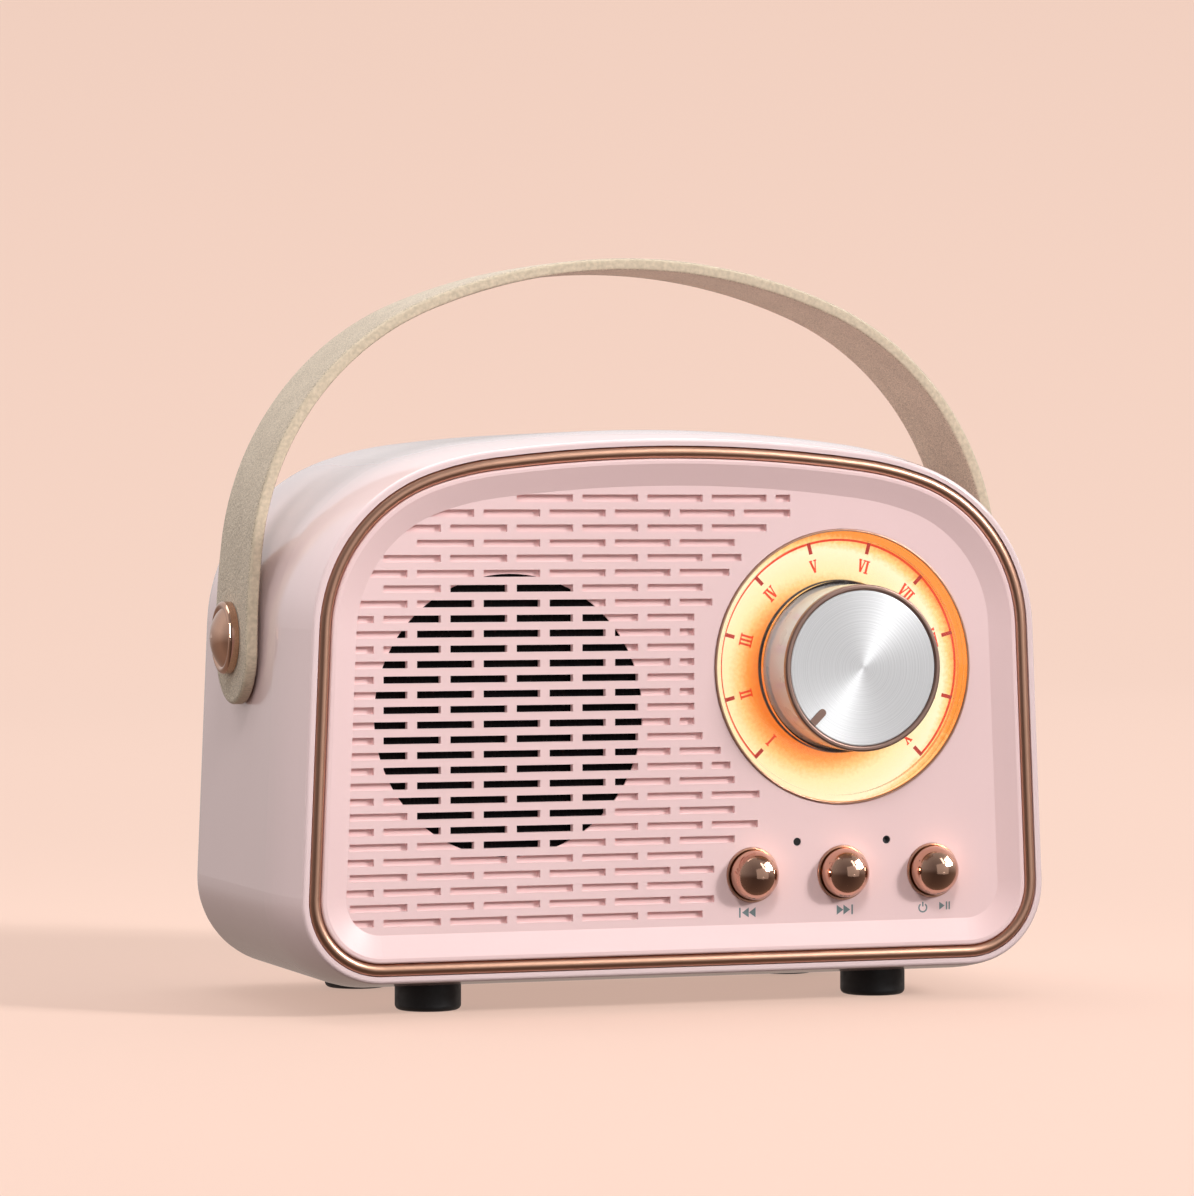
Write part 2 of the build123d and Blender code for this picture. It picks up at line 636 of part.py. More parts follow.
with BuildPart() as knob_body:
    extrude(discs([DIAL], KNOB_R, RING_BACK), amount=-(KNOB_BACK - RING_BACK))
    fillet(knob_body.edges().group_by(Axis.Y)[-1], radius=0.3)
    extrude(discs([DIAL], KNOB_R - 1.6, RING_BACK + 1.6), amount=-(KNOB_BACK - RING_BACK), mode=Mode.SUBTRACT)
    extrude(discs([DIAL], 5.0, RING_BACK + 1.6), amount=-(BUSH_FRONT - 0.4 - RING_BACK - 1.6))
    with BuildSketch(facing(RING_BACK + 1.0, DIAL)):
        Circle(SHAFT_R + 0.01)
        with Locations((0, SHAFT_R + 0.01)):
            Rectangle(2 * SHAFT_R + 1, 3.0, mode=Mode.SUBTRACT)
    extrude(amount=-3.6, mode=Mode.SUBTRACT)
    extrude(discs([DIAL], SHAFT_R + 0.01, RING_BACK + 4.6), amount=-3.0, mode=Mode.SUBTRACT)
finish(knob_body, "knob_body")

with BuildPart() as knob_ring:
    revolve(washer(DIAL, RING_IN, KNOB_R, KNOB_FRONT, RING_BACK), axis=lathe_axis(DIAL))
    fillet(knob_ring.edges().group_by(Axis.Y)[0], radius=0.25)
finish(knob_ring, "knob_ring")

with BuildPart() as knob_face:
    revolve(washer(DIAL, 0, RING_IN - GAP, KNOB_FRONT + 0.2, RING_BACK), axis=lathe_axis(DIAL))
finish(knob_face, "knob_face")

with BuildPart() as knob_pointer:
    with BuildSketch(facing(KNOB_FRONT + 0.05, DIAL)):
        with Locations(Location(xy(polar(9.2, 225)), 225)):
            Rectangle(2.0, 1.0)
        with Locations(xy(polar(8.2, 225))):
            Circle(0.5)
    extrude(amount=-0.15)
finish(knob_pointer, "knob_pointer")

# ---------------------------------------------------------------- buttons
with BuildPart() as button_collars:
    for button in buttons:
        revolve(washer(button, COLLAR_IN, COLLAR_OUT - 0.02, -0.35, PANEL_THICK), axis=lathe_axis(button))
    fillet(button_collars.edges().group_by(Axis.Y)[0], radius=0.12)
finish(button_collars, "button_collars")

DOME_TOP = -4.0
CAP_STEM_END = 5.4
SWITCH_FRONT = 6.4
for name, button in zip(BUTTON_X, buttons):
    with BuildPart() as cap:
        with BuildSketch(lathe_plane(button)):
            with BuildLine():
                dome = cap_arc(DOME_TOP, CAP_R, CAP_R)
                Polyline(
                    dome @ 1,
                    (CAP_R, PANEL_THICK + 0.15),
                    (CAP_FLANGE_R, PANEL_THICK + 0.15),
                    (CAP_FLANGE_R, PANEL_THICK + 0.95),
                    (1.5, PANEL_THICK + 0.95),
                    (1.5, CAP_STEM_END),
                    (0, CAP_STEM_END),
                    (0, DOME_TOP),
                )
            make_face()
        revolve(axis=lathe_axis(button))
    finish(cap, f"{name}_button")
    with BuildPart() as plunger:
        revolve(washer(button, 0, PLUNGER_R, CAP_STEM_END, SWITCH_FRONT + 0.6), axis=lathe_axis(button))
    finish(plunger, f"{name}_plunger")

with BuildPart() as button_switches:
    with BuildSketch(facing(SWITCH_FRONT)):
        with Locations(*[xy(button) for button in buttons]):
            RectangleRounded(6.0, 6.0, 0.4)
            Circle(PLUNGER_R + RUNNING, mode=Mode.SUBTRACT)
    extrude(amount=-1.4)
    with BuildSketch(facing(SWITCH_FRONT + 1.4)):
        with Locations(*[xy(button) for button in buttons]):
            RectangleRounded(6.0, 6.0, 0.4)
    extrude(amount=-(CONTROL_DEPTH - SWITCH_FRONT - 1.4))
finish(button_switches, "button_switches")

with BuildPart() as status_light_pipe:
    revolve(
        washer(STATUS_LIGHT, 0, 0.5, 0.1, STATUS_LAMP_DEPTH - 0.1), axis=lathe_axis(STATUS_LIGHT)
    )
finish(status_light_pipe, "status_light_pipe")

MIC_FRONT = 7.4
with BuildPart() as microphone_boot:
    revolve(washer(MICROPHONE, 1.0, 2.0, PANEL_THICK, MIC_FRONT), axis=lathe_axis(MICROPHONE))
finish(microphone_boot, "microphone_boot")

with BuildPart() as microphone:
    revolve(washer(MICROPHONE, 0, 2.0, MIC_FRONT, CONTROL_DEPTH), axis=lathe_axis(MICROPHONE))
finish(microphone, "microphone")

with BuildPart() as control_board:
    extrude(
        panel_rectangle(CONTROL_LEFT, CONTROL_RIGHT, CONTROL_LOW, CONTROL_HIGH, CONTROL_DEPTH),
        amount=-BOARD_THICK,
    )
    upright = control_board.edges().filter_by(Axis.Y).sort_by(lambda e: e.center().X + e.center().Z)
    chamfer(upright[-1], length=6.0)
    extrude(discs(CONTROL_POSTS, 1.15, CONTROL_DEPTH), amount=-BOARD_THICK, mode=Mode.SUBTRACT)
finish(control_board, "control_board")
finish(screws(CONTROL_POSTS, CONTROL_DEPTH + BOARD_THICK, 1.9, 1.3, 1.0, 7.0), "control_board_screws")

# ---------------------------------------------------------------- battery
with BuildPart() as battery_tray:
    front, back = CELL_DEPTH - CELL_R - TRAY_WALL - 0.2, CELL_DEPTH + CELL_R + TRAY_WALL + 0.2
    floor = CELL_Z - CELL_R - TRAY_WALL
    extrude(floor_rectangle(-TRAY_HALF, TRAY_HALF, front, back, floor), amount=CELL_R + TRAY_WALL + 1.5)
    extrude(
        floor_rectangle(
            1.0 - TRAY_HALF, TRAY_HALF - 1.0, front + TRAY_WALL, back - TRAY_WALL, floor + TRAY_WALL
        ),
        amount=CELL_R * 2,
        mode=Mode.SUBTRACT,
    )
    # ears screwed to the cover's bosses
    for side in (1, -1):
        ear = sorted((side * (TRAY_HALF - 0.5), side * (TRAY_HALF + 6.4)))
        extrude(panel_rectangle(*ear, 19.0, 30.2, EAR_DEPTH), amount=1.5)
    extrude(discs(TRAY_EARS, 1.15, EAR_DEPTH), amount=1.5, mode=Mode.SUBTRACT)
finish(battery_tray, "battery_tray")
tray_screws = screws(TRAY_EARS, EAR_DEPTH - 1.5, 1.9, 1.3, 1.0, 6.5, backwards=False)
finish(tray_screws, "battery_tray_screws")

CELL_PLANE = Plane(origin=(0, PANEL_Y + CELL_DEPTH, CELL_Z), x_dir=(0, 1, 0), z_dir=(1, 0, 0))
with BuildPart() as battery_cell:
    with BuildSketch(CELL_PLANE):
        Circle(CELL_R - 0.05)
    extrude(amount=CELL_LENGTH / 2, both=True)
    fillet(battery_cell.edges(), radius=0.8)
finish(battery_cell, "battery_cell")

with BuildPart() as battery_contacts:
    for side in (1, -1):
        wall = side * (TRAY_HALF - 1.0)
        contact = sorted((wall, wall - side * 0.4))
        front, back = CELL_DEPTH - 4, CELL_DEPTH + 4
        extrude(floor_rectangle(*contact, front, back, CELL_Z - 6), amount=SHELF_Z - CELL_Z + 6)
        spring = sorted((wall - side * 0.4, side * CELL_LENGTH / 2))
        with BuildSketch(CELL_PLANE.offset(spring[0])):
            Circle(3.0)
            Circle(2.2, mode=Mode.SUBTRACT)
        extrude(amount=spring[1] - spring[0])
finish(battery_contacts, "battery_contacts")

# ---------------------------------------------------------------- main board and its sockets
BOARD_TOP = SHELF_Z + BOARD_THICK
with BuildPart() as main_board:
    extrude(floor_rectangle(-MAIN_HALF, MAIN_HALF, MAIN_FRONT, MAIN_BACK, SHELF_Z), amount=BOARD_THICK)
    with BuildSketch(Plane.XY.offset(SHELF_Z)):
        with Locations(
            (MAIN_SCREW_X, PANEL_Y + MAIN_SCREW_DEPTH), (-MAIN_SCREW_X, PANEL_Y + MAIN_SCREW_DEPTH)
        ):
            Circle(1.05)
    extrude(amount=BOARD_THICK, mode=Mode.SUBTRACT)
finish(main_board, "main_board")

with BuildPart() as main_board_screws:
    spots = [(side * MAIN_SCREW_X, PANEL_Y + MAIN_SCREW_DEPTH) for side in (1, -1)]
    with BuildSketch(Plane.XY.offset(BOARD_TOP)):
        with Locations(*spots):
            Circle(1.7)
    extrude(amount=1.2)
    with BuildSketch(Plane.XY.offset(BOARD_TOP)):
        with Locations(*spots):
            Circle(0.9)
    extrude(amount=-BOARD_THICK - 2.0)
    for size in ((2.2, 0.5), (0.5, 2.2)):
        with BuildSketch(Plane.XY.offset(BOARD_TOP + 1.2)):
            with Locations(*spots):
                Rectangle(*size)
        extrude(amount=-0.6, mode=Mode.SUBTRACT)
finish(main_board_screws, "main_board_screws")

with BuildPart() as charging_socket:
    extrude(
        panel_rectangle(USB_X - 4.47, USB_X + 4.47, BOARD_TOP, BOARD_TOP + 3.2, COVER_OUTER - 0.3, 1.4),
        amount=7.3,
    )
    extrude(
        panel_rectangle(USB_X - 4.17, USB_X + 4.17, BOARD_TOP + 0.3, BOARD_TOP + 2.9, COVER_OUTER - 0.3, 1.2),
        amount=6.0,
        mode=Mode.SUBTRACT,
    )
    tongue = panel_rectangle(USB_X - 3.3, USB_X + 3.3, BOARD_TOP + 1.25, BOARD_TOP + 1.95, COVER_OUTER - 1.3)
    extrude(tongue, amount=5.5)
finish(charging_socket, "charging_socket")

with BuildPart() as audio_socket:
    body = panel_rectangle(JACK_X - 3.0, JACK_X + 3.0, BOARD_TOP, BOARD_TOP + 5.8, LEDGE_DEPTH)
    extrude(body, amount=12.7)
    extrude(discs([Vector(JACK_X, JACK_Z)], 3.0, COVER_OUTER), amount=COVER_OUTER - LEDGE_DEPTH)
    extrude(discs([Vector(JACK_X, JACK_Z)], JACK_R, COVER_OUTER), amount=JACK_LENGTH, mode=Mode.SUBTRACT)
finish(audio_socket, "audio_socket")

with BuildPart() as card_socket:
    left, right = CARD_X - 6.9, CARD_X + 6.9
    extrude(panel_rectangle(left, right, BOARD_TOP, BOARD_TOP + 1.5, LEDGE_DEPTH), amount=14.0)
    slot = panel_rectangle(CARD_X - 5.6, CARD_X + 5.6, BOARD_TOP + 0.35, BOARD_TOP + 1.2, LEDGE_DEPTH)
    extrude(slot, amount=13.0, mode=Mode.SUBTRACT)
finish(card_socket, "card_socket")

with BuildPart() as board_components:
    # radio module with its shield, amplifier, charging chip and three capacitors
    extrude(floor_rectangle(-6.5, 6.5, 34.0, 43.0, BOARD_TOP), amount=0.8)
    extrude(floor_rectangle(-5.8, 5.8, 34.7, 40.5, BOARD_TOP + 0.8), amount=1.4)
    extrude(floor_rectangle(-13.0, -8.0, 34.0, 37.0, BOARD_TOP), amount=0.9)
    extrude(floor_rectangle(20.0, 24.0, 29.5, 33.5, BOARD_TOP), amount=0.9)
    with BuildSketch(Plane.XY.offset(BOARD_TOP)):
        with Locations(*[(x, PANEL_Y + depth) for x, depth in ((-24, 32), (-24, 38.5), (29, 36))]):
            Circle(2.5)
    extrude(amount=5.4)
finish(board_components, "board_components")

# plug sockets of the speaker's and the control board's leads
SOCKET_TOP = BOARD_TOP + 3.4
SOCKET_MIDDLE = 30.0
SPEAKER_SOCKET_X, CONTROL_SOCKET_X = -12.0, 14.0
with BuildPart() as lead_sockets:
    for centre_x in (SPEAKER_SOCKET_X, CONTROL_SOCKET_X):
        base = floor_rectangle(centre_x - 3, centre_x + 3, SOCKET_MIDDLE - 2, SOCKET_MIDDLE + 2, BOARD_TOP)
        extrude(base, amount=3.4)
finish(lead_sockets, "lead_sockets")


def lead(points):
    """One insulated wire along a path of (x, depth, z) points, in the current part."""
    corners = [(x, PANEL_Y + depth, z) for x, depth, z in points]
    with BuildPart() as wire:
        with BuildLine() as path:
            FilletPolyline(*corners, radius=2.0)
        with BuildSketch(Plane(origin=path.line @ 0, z_dir=path.line % 0)):
            Circle(LEAD_R)
        sweep(path=path.wire())
    return wire.part


LEAD_R = 0.55
with BuildPart() as inner_leads:
    # two from the speaker's tab, four from the control board, down to the main board's plug sockets
    for place in (-1, 1):
        start_z = SPEAKER.Y + 1.8 * place
        start_x = SPEAKER.X + SPEAKER_HALF - 1.6
        end_x = SPEAKER_SOCKET_X + 1.3 * place
        top_z = 46.0 - 1.5 * place
        add(
            lead(
                [
                    (start_x, FLANGE_DEPTH + 5.0, start_z),
                    (start_x, 24.5, start_z),
                    (end_x, SOCKET_MIDDLE, top_z),
                    (end_x, SOCKET_MIDDLE, SOCKET_TOP),
                ]
            )
        )
    for place in range(4):
        start_x = 10.0 + 1.3 * place
        end_x = CONTROL_SOCKET_X + 1.3 * (place - 1.5)
        add(
            lead(
                [
                    (start_x, CONTROL_DEPTH + BOARD_THICK, 50.0),
                    (start_x, 18.0, 50.0),
                    (end_x, SOCKET_MIDDLE, 48.0),
                    (end_x, SOCKET_MIDDLE, SOCKET_TOP),
                ]
            )
        )
finish(inner_leads, "inner_leads")

# ---------------------------------------------------------------- feet
with BuildPart() as feet:
    with BuildSketch():
        for depth in FOOT_DEPTHS:
            with Locations((FOOT_X, PANEL_Y + depth), (-FOOT_X, PANEL_Y + depth)):
                Circle(FOOT_R)
    extrude(amount=FOOT_TOP)
    fillet(feet.edges().group_by(Axis.Z)[0], radius=0.7)
finish(feet, "feet")

# ---------------------------------------------------------------- carrying strap and its rivets
LEG_C = Vector(STRAP_OUT_X - LEG_R, STRAP_BEND_Z)
HIP_C = LEG_C + polar(LEG_R - HIP_R, LEG_TURN)
ARCH_R = HIP_R + HIP_C.X / math.cos(math.radians(HIP_TURN))
ARCH_C = HIP_C - polar(ARCH_R - HIP_R, HIP_TURN)
STRAP_END_Z = 47.35
STRAP_LOW_Z = STRAP_END_Z - STRAP_WIDTH / 2


def half_strap(inset):
    """Right half of the strap's line, from the end of its leg to the top of the arch."""
    Line((STRAP_OUT_X - inset, STRAP_LOW_Z), (STRAP_OUT_X - inset, STRAP_BEND_Z))
    CenterArc(xy(LEG_C), LEG_R - inset, 0, LEG_TURN)
    CenterArc(xy(HIP_C), HIP_R - inset, LEG_TURN, HIP_TURN - LEG_TURN)
    CenterArc(xy(ARCH_C), ARCH_R - inset, HIP_TURN, 90 - HIP_TURN)


with BuildPart() as carrying_strap:
    with BuildSketch(facing(PIVOT_DEPTH)):
        with BuildLine():
            half_strap(0)
            half_strap(STRAP_THICK)
            Line((STRAP_OUT_X, STRAP_LOW_Z), (STRAP_OUT_X - STRAP_THICK, STRAP_LOW_Z))
            mirror(about=Plane.YZ)
        make_face()
    extrude(amount=STRAP_WIDTH / 2, both=True)
    # round ends
    with BuildSketch(Plane.YZ):
        with Locations((PANEL_Y + PIVOT_DEPTH, STRAP_END_Z)):
            Rectangle(STRAP_WIDTH + 1, STRAP_WIDTH + 1)
            with Locations((0, STRAP_WIDTH / 2)):
                Rectangle(STRAP_WIDTH + 1, STRAP_WIDTH, mode=Mode.SUBTRACT)
            Circle(STRAP_WIDTH / 2, mode=Mode.SUBTRACT)
    extrude(amount=STRAP_OUT_X + 1, both=True, mode=Mode.SUBTRACT)
    with BuildSketch(Plane.YZ):
        with Locations((PANEL_Y + PIVOT_DEPTH, PIVOT_Z)):
            Circle(RIVET_SHANK_R + RUNNING)
    extrude(amount=STRAP_OUT_X + 1, both=True, mode=Mode.SUBTRACT)
finish(carrying_strap, "carrying_strap")

# sections of the pivots are drawn here as (radius, x) points
PIVOT = Plane(origin=(0, PANEL_Y + PIVOT_DEPTH, PIVOT_Z), x_dir=(0, 1, 0), z_dir=(0, 0, -1))
PIVOT_AXIS = Axis((0, PANEL_Y + PIVOT_DEPTH, PIVOT_Z), (1, 0, 0))
HEAD_X = STRAP_OUT_X + GAP
WASHER_X = 47.0
RIVET_TOP = HEAD_X + 2.55

with BuildPart() as strap_rivets:
    with BuildSketch(PIVOT):
        with BuildLine():
            Polyline(
                (0, RIVET_TOP),
                (0, WASHER_X - 0.8),
                (2.4, WASHER_X - 0.8),
                (2.4, WASHER_X),
                (RIVET_SHANK_R, WASHER_X),
                (RIVET_SHANK_R, HEAD_X),
                (RIVET_R, HEAD_X),
                (RIVET_R, HEAD_X + 0.95),
            )
            dome = cap_arc(RIVET_TOP, 6.0, RIVET_R - 0.95, rise=-1)
            ThreePointArc((RIVET_R, HEAD_X + 0.95), (RIVET_R - 0.45, HEAD_X + 1.35), dome @ 1)
        make_face()
    revolve(axis=PIVOT_AXIS)
    mirror(about=Plane.YZ)
finish(strap_rivets, "strap_rivets")

with BuildPart() as rivet_washers:
    with BuildSketch(PIVOT):
        with BuildLine():
            inner, outer = RIVET_SHANK_R + 0.02, 3.6
            Polyline((inner, WASHER_X), (outer, WASHER_X), (outer, 47.8), (inner, 47.8), close=True)
        make_face()
    revolve(axis=PIVOT_AXIS)
    mirror(about=Plane.YZ)
finish(rivet_washers, "rivet_washers")
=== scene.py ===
import math

import bpy
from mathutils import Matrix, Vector, noise
from mathutils.geometry import delaunay_2d_cdt


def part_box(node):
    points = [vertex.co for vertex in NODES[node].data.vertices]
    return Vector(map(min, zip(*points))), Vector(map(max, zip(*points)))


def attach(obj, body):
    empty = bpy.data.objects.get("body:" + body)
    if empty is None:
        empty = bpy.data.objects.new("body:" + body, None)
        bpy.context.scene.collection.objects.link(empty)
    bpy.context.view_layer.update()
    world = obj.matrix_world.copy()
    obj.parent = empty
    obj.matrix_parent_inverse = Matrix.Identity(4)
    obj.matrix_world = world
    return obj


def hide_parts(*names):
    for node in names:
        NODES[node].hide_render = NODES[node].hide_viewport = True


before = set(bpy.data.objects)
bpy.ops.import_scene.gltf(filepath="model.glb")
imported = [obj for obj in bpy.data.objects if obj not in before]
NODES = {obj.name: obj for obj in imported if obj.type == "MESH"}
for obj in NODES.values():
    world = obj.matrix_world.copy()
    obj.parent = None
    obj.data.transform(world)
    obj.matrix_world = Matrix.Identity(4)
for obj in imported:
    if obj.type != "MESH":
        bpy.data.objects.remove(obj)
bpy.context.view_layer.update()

MM = 0.001
TINY = 1e-9


# ---------------------------------------------------------------- mesh helpers


def middle(node):
    """Centre of a CAD node's box."""
    low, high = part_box(node)
    return (low + high) / 2


def piece(name, points, faces, body, materials, smooth=True):
    """A mesh object that rides on a CAD body, or on none."""
    mesh = bpy.data.meshes.new(name)
    mesh.from_pydata([tuple(p) for p in points], [], faces)
    mesh.polygons.foreach_set("use_smooth", [smooth] * len(mesh.polygons))
    for material in materials:
        mesh.materials.append(material)
    mesh.update()
    obj = bpy.data.objects.new(name, mesh)
    bpy.context.scene.collection.objects.link(obj)
    if body:
        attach(obj, body)
    return obj


def plates(name, outlines, front, thick, body, material):
    """Thin printed shapes: each outline is a convex polygon in X and Z, in metres, facing -Y."""
    points, faces = [], []
    for outline in outlines:
        following = outline[1:] + outline[:1]
        area = sum(a[0] * b[1] - b[0] * a[1] for a, b in zip(outline, following))
        ring = outline if area > 0 else outline[::-1]
        start, n = len(points), len(ring)
        points += [(x, front, z) for x, z in ring]
        points += [(x, front + thick, z) for x, z in ring]
        faces.append([start + i for i in range(n)])
        faces.append([start + n + i for i in reversed(range(n))])
        for i in range(n):
            j = (i + 1) % n
            faces.append([start + j, start + i, start + n + i, start + n + j])
    return piece(name, points, faces, body, [material], smooth=False)


def turned(name, profile, centre, steps, body, material):
    """A lathe piece about Y: profile is (radius, y), from the axis outwards and back to the axis, or
    round a loop that ends where it began. Its object's origin is on the axis."""
    points, faces, rings = [], [], []
    loop = profile[0] == profile[-1]
    for radius, y in profile[:-1] if loop else profile:
        if radius < TINY:
            rings.append([len(points)])
            points.append((0, y - centre.y, 0))
            continue
        rings.append(list(range(len(points), len(points) + steps)))
        for k in range(steps):
            angle = 2 * math.pi * k / steps
            points.append((radius * math.cos(angle), y - centre.y, radius * math.sin(angle)))
    if loop:
        rings.append(rings[0])
    for a, b in zip(rings, rings[1:]):
        for k in range(steps):
            m = (k + 1) % steps
            if len(a) == 1:
                faces.append([a[0], b[k], b[m]])
            elif len(b) == 1:
                faces.append([a[k], b[0], a[m]])
            else:
                faces.append([a[k], b[k], b[m], a[m]])
    obj = piece(name, points, faces, None, [material])
    obj.location = centre
    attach(obj, body)
    return obj


# ---------------------------------------------------------------- materials


def set_stops(ramp, stops):
    """Fills a colour ramp with stops, each (place, (r, g, b)), in order of place."""
    elements = ramp.color_ramp.elements
    while len(elements) < len(stops):
        elements.new(0.5)
    for element, (at, colour) in zip(elements, stops):
        element.position = at
        element.color = (*colour, 1)


class Finish:
    """One procedural material: a Principled shader and the nodes that feed it."""

    def __init__(self, name, **constants):
        self.material = bpy.data.materials.new(name)
        self.material.use_nodes = True
        self.tree = self.material.node_tree
        self.tree.nodes.clear()
        self.shader = self.tree.nodes.new("ShaderNodeBsdfPrincipled")
        output = self.tree.nodes.new("ShaderNodeOutputMaterial")
        self.tree.links.new(self.shader.outputs["BSDF"], output.inputs["Surface"])
        for socket, value in constants.items():
            self.shader.inputs[socket.replace("_", " ")].default_value = value
        self.place = self.node("TexCoord").outputs["Object"]

    def node(self, kind, inputs=None, **settings):
        """A shader node. Inputs that are sockets are linked, and other inputs are set."""
        made = self.tree.nodes.new("ShaderNode" + kind)
        for key, value in settings.items():
            setattr(made, key, value)
        for key, value in (inputs or {}).items():
            if isinstance(value, bpy.types.NodeSocket):
                self.tree.links.new(value, made.inputs[key])
            else:
                made.inputs[key].default_value = value
        return made

    def feed(self, socket, value):
        self.tree.links.new(value, self.shader.inputs[socket])

    def scaled(self, size, stretch=(1, 1, 1)):
        """Object coordinates in units of size metres, finer along an axis with more stretch."""
        scale = [s / size for s in stretch]
        return self.node("Mapping", {"Vector": self.place, "Scale": scale}).outputs["Vector"]

    def noise(self, size, detail=3.0, stretch=(1, 1, 1)):
        """Noise whose features are size metres across."""
        inputs = {"Vector": self.scaled(size, stretch), "Scale": 1.0, "Detail": detail}
        return self.node("TexNoise", inputs).outputs["Fac"]

    def cells(self, size, feature="F1"):
        """Distances in a pattern of cells that are size metres across."""
        inputs = {"Vector": self.scaled(size), "Scale": 1.0}
        return self.node("TexVoronoi", inputs, feature=feature).outputs["Distance"]

    def from_axis(self, point=(0, 0, 0)):
        """Distance from the line through point along Y."""
        offset = self.node("VectorMath", {0: self.place, 1: point}, operation="SUBTRACT")
        split = self.node("SeparateXYZ", {"Vector": offset.outputs["Vector"]})
        flat = self.node("CombineXYZ", {"X": split.outputs["X"], "Z": split.outputs["Z"]})
        length = self.node("VectorMath", {0: flat.outputs["Vector"]}, operation="LENGTH")
        return length.outputs["Value"]

    def span(self, value, low, high, source=(0.3, 0.7)):
        """value, moved from the range source to the range low to high."""
        inputs = {
            "Value": value, "From Min": source[0], "From Max": source[1], "To Min": low, "To Max": high,
        }
        return self.node("MapRange", inputs).outputs["Result"]

    def math(self, operation, a, b):
        return self.node("Math", {0: a, 1: b}, operation=operation).outputs["Value"]

    def ramp(self, value, stops):
        """Colours, each (place, (r, g, b)), along value."""
        made = self.node("ValToRGB", {"Fac": value})
        set_stops(made, stops)
        return made.outputs["Color"]

    def blend(self, value, first, second, ends=(0.3, 0.7)):
        """A colour that goes from first to second as value crosses the range ends."""
        return self.ramp(value, [(ends[0], first), (ends[1], second)])

    def bump(self, height, depth, below=None):
        """Relief of depth metres. below is another bump's normal."""
        inputs = {"Height": height, "Distance": depth, "Strength": 1.0}
        if below is not None:
            inputs["Normal"] = below
        return self.node("Bump", inputs).outputs["Normal"]


def moulded(name, light, dark, rough, grain=0.00025, relief=2e-6, patch=0.03, **constants):
    """Moulded plastic, rubber, foam or lacquer: slow colour drift, uneven gloss and a fine skin."""
    f = Finish(name, **constants)
    f.feed("Base Color", f.blend(f.noise(patch, 2.0), dark, light))
    f.feed("Roughness", f.span(f.noise(patch / 4, 4.0), *rough))
    f.feed("Normal", f.bump(f.noise(grain, 2.0), relief))
    return f.material


def plated(name, light, dark, rough, relief=4e-7, grain=0.0003):
    """Bare or plated metal: faint tarnish, uneven polish and, unless relief is 0, a fine grain."""
    f = Finish(name, Metallic=1.0)
    f.feed("Base Color", f.blend(f.noise(0.012, 3.0), dark, light))
    f.feed("Roughness", f.span(f.noise(grain, 4.0), *rough))
    if relief:
        f.feed("Normal", f.bump(f.noise(grain, 3.0), relief))
    return f.material


def leather(name, light, mid, dark, grain, relief):
    """Vegetable-tanned leather: pebbled cells with fine creases, open pores and mottled dye."""
    f = Finish(name, Sheen_Weight=0.12, Sheen_Roughness=0.5, Specular_IOR_Level=0.35)
    pores = f.noise(grain * 0.3, 3.0)
    slow = f.math("MULTIPLY", f.noise(0.004, 4.0), 0.12)
    mottle = f.math("ADD", slow, f.math("MULTIPLY", pores, 0.88))
    f.feed("Base Color", f.ramp(mottle, [(0.43, dark), (0.5, mid), (0.57, light)]))
    f.feed("Roughness", f.span(pores, 0.62, 0.85))
    creases = f.math("MINIMUM", f.cells(grain * 2.6, "DISTANCE_TO_EDGE"), 0.18)
    creased = f.bump(creases, relief * 2.2)
    f.feed("Normal", f.bump(f.math("ADD", f.cells(grain), pores), relief, creased))
    return f.material


def cut_leather(name, light, dark):
    """The strap's cut edge: packed fibres that run along it."""
    f = Finish(name, Sheen_Weight=0.1, Specular_IOR_Level=0.3)
    fibres = f.noise(0.0006, 5.0, (1, 4, 1))
    f.feed("Base Color", f.blend(fibres, dark, light, (0.35, 0.65)))
    f.feed("Roughness", f.span(fibres, 0.7, 0.95))
    f.feed("Normal", f.bump(fibres, 3e-5))
    return f.material


def spun(name, streaks=9000.0):
    """Spun aluminium: streaks per metre of radius, which run round the object's own Y axis."""
    f = Finish(name, Metallic=0.4, Anisotropic=0.75, Anisotropic_Rotation=0.25)
    inputs = {"W": f.math("MULTIPLY", f.from_axis(), streaks), "Detail": 2.0, "Scale": 1.0}
    rings = f.node("TexNoise", inputs, noise_dimensions="1D").outputs["Fac"]
    f.feed("Base Color", f.blend(rings, (0.73, 0.74, 0.75), (0.89, 0.90, 0.91)))
    f.feed("Roughness", f.span(rings, 0.40, 0.54))
    f.feed("Normal", f.bump(rings, 1.2e-6))
    f.feed("Tangent", f.node("Tangent", direction_type="RADIAL", axis="Y").outputs["Tangent"])
    return f.material


def polished_side(name):
    """Lacquered, polished knob wall: a clear coat over its own pale metal colour."""
    f = Finish(name, Coat_Weight=1.0, Coat_Roughness=0.05, Coat_IOR=1.5)
    f.feed("Base Color", f.blend(f.noise(0.006, 3.0), (0.62, 0.70, 0.79), (0.68, 0.76, 0.85)))
    f.feed("Roughness", f.span(f.noise(0.004, 2.0), 0.25, 0.32))
    return f.material


# Painted shade: the glow's centre is moved down and left of the dial's axis so the print turns orange
# beside the knob's lower left. Under the lens hole the print is painted dark, as shade round the knob's
# base.
KNOB_SHADE_SHIFT = Vector((-1.9 * MM, 0, -1.3 * MM))
LIT_BAND = (9.5 * MM, 20.0 * MM)
LENS_HOLE_EDGE = (11.45 * MM, 11.6 * MM)
KNOB_BASE_SHADE = (0.012, 0.008, 0.008, 1)
LIT_STOPS = [
    (0.03, (0.92, 0.20, 0.02)),
    (0.16, (1.0, 0.34, 0.055)),
    (0.28, (1.0, 0.60, 0.20)),
    (0.42, (1.0, 0.84, 0.44)),
    (0.70, (1.0, 0.92, 0.60)),
    (0.80, (1.0, 0.66, 0.22)),
    (0.90, (0.98, 0.30, 0.03)),
]


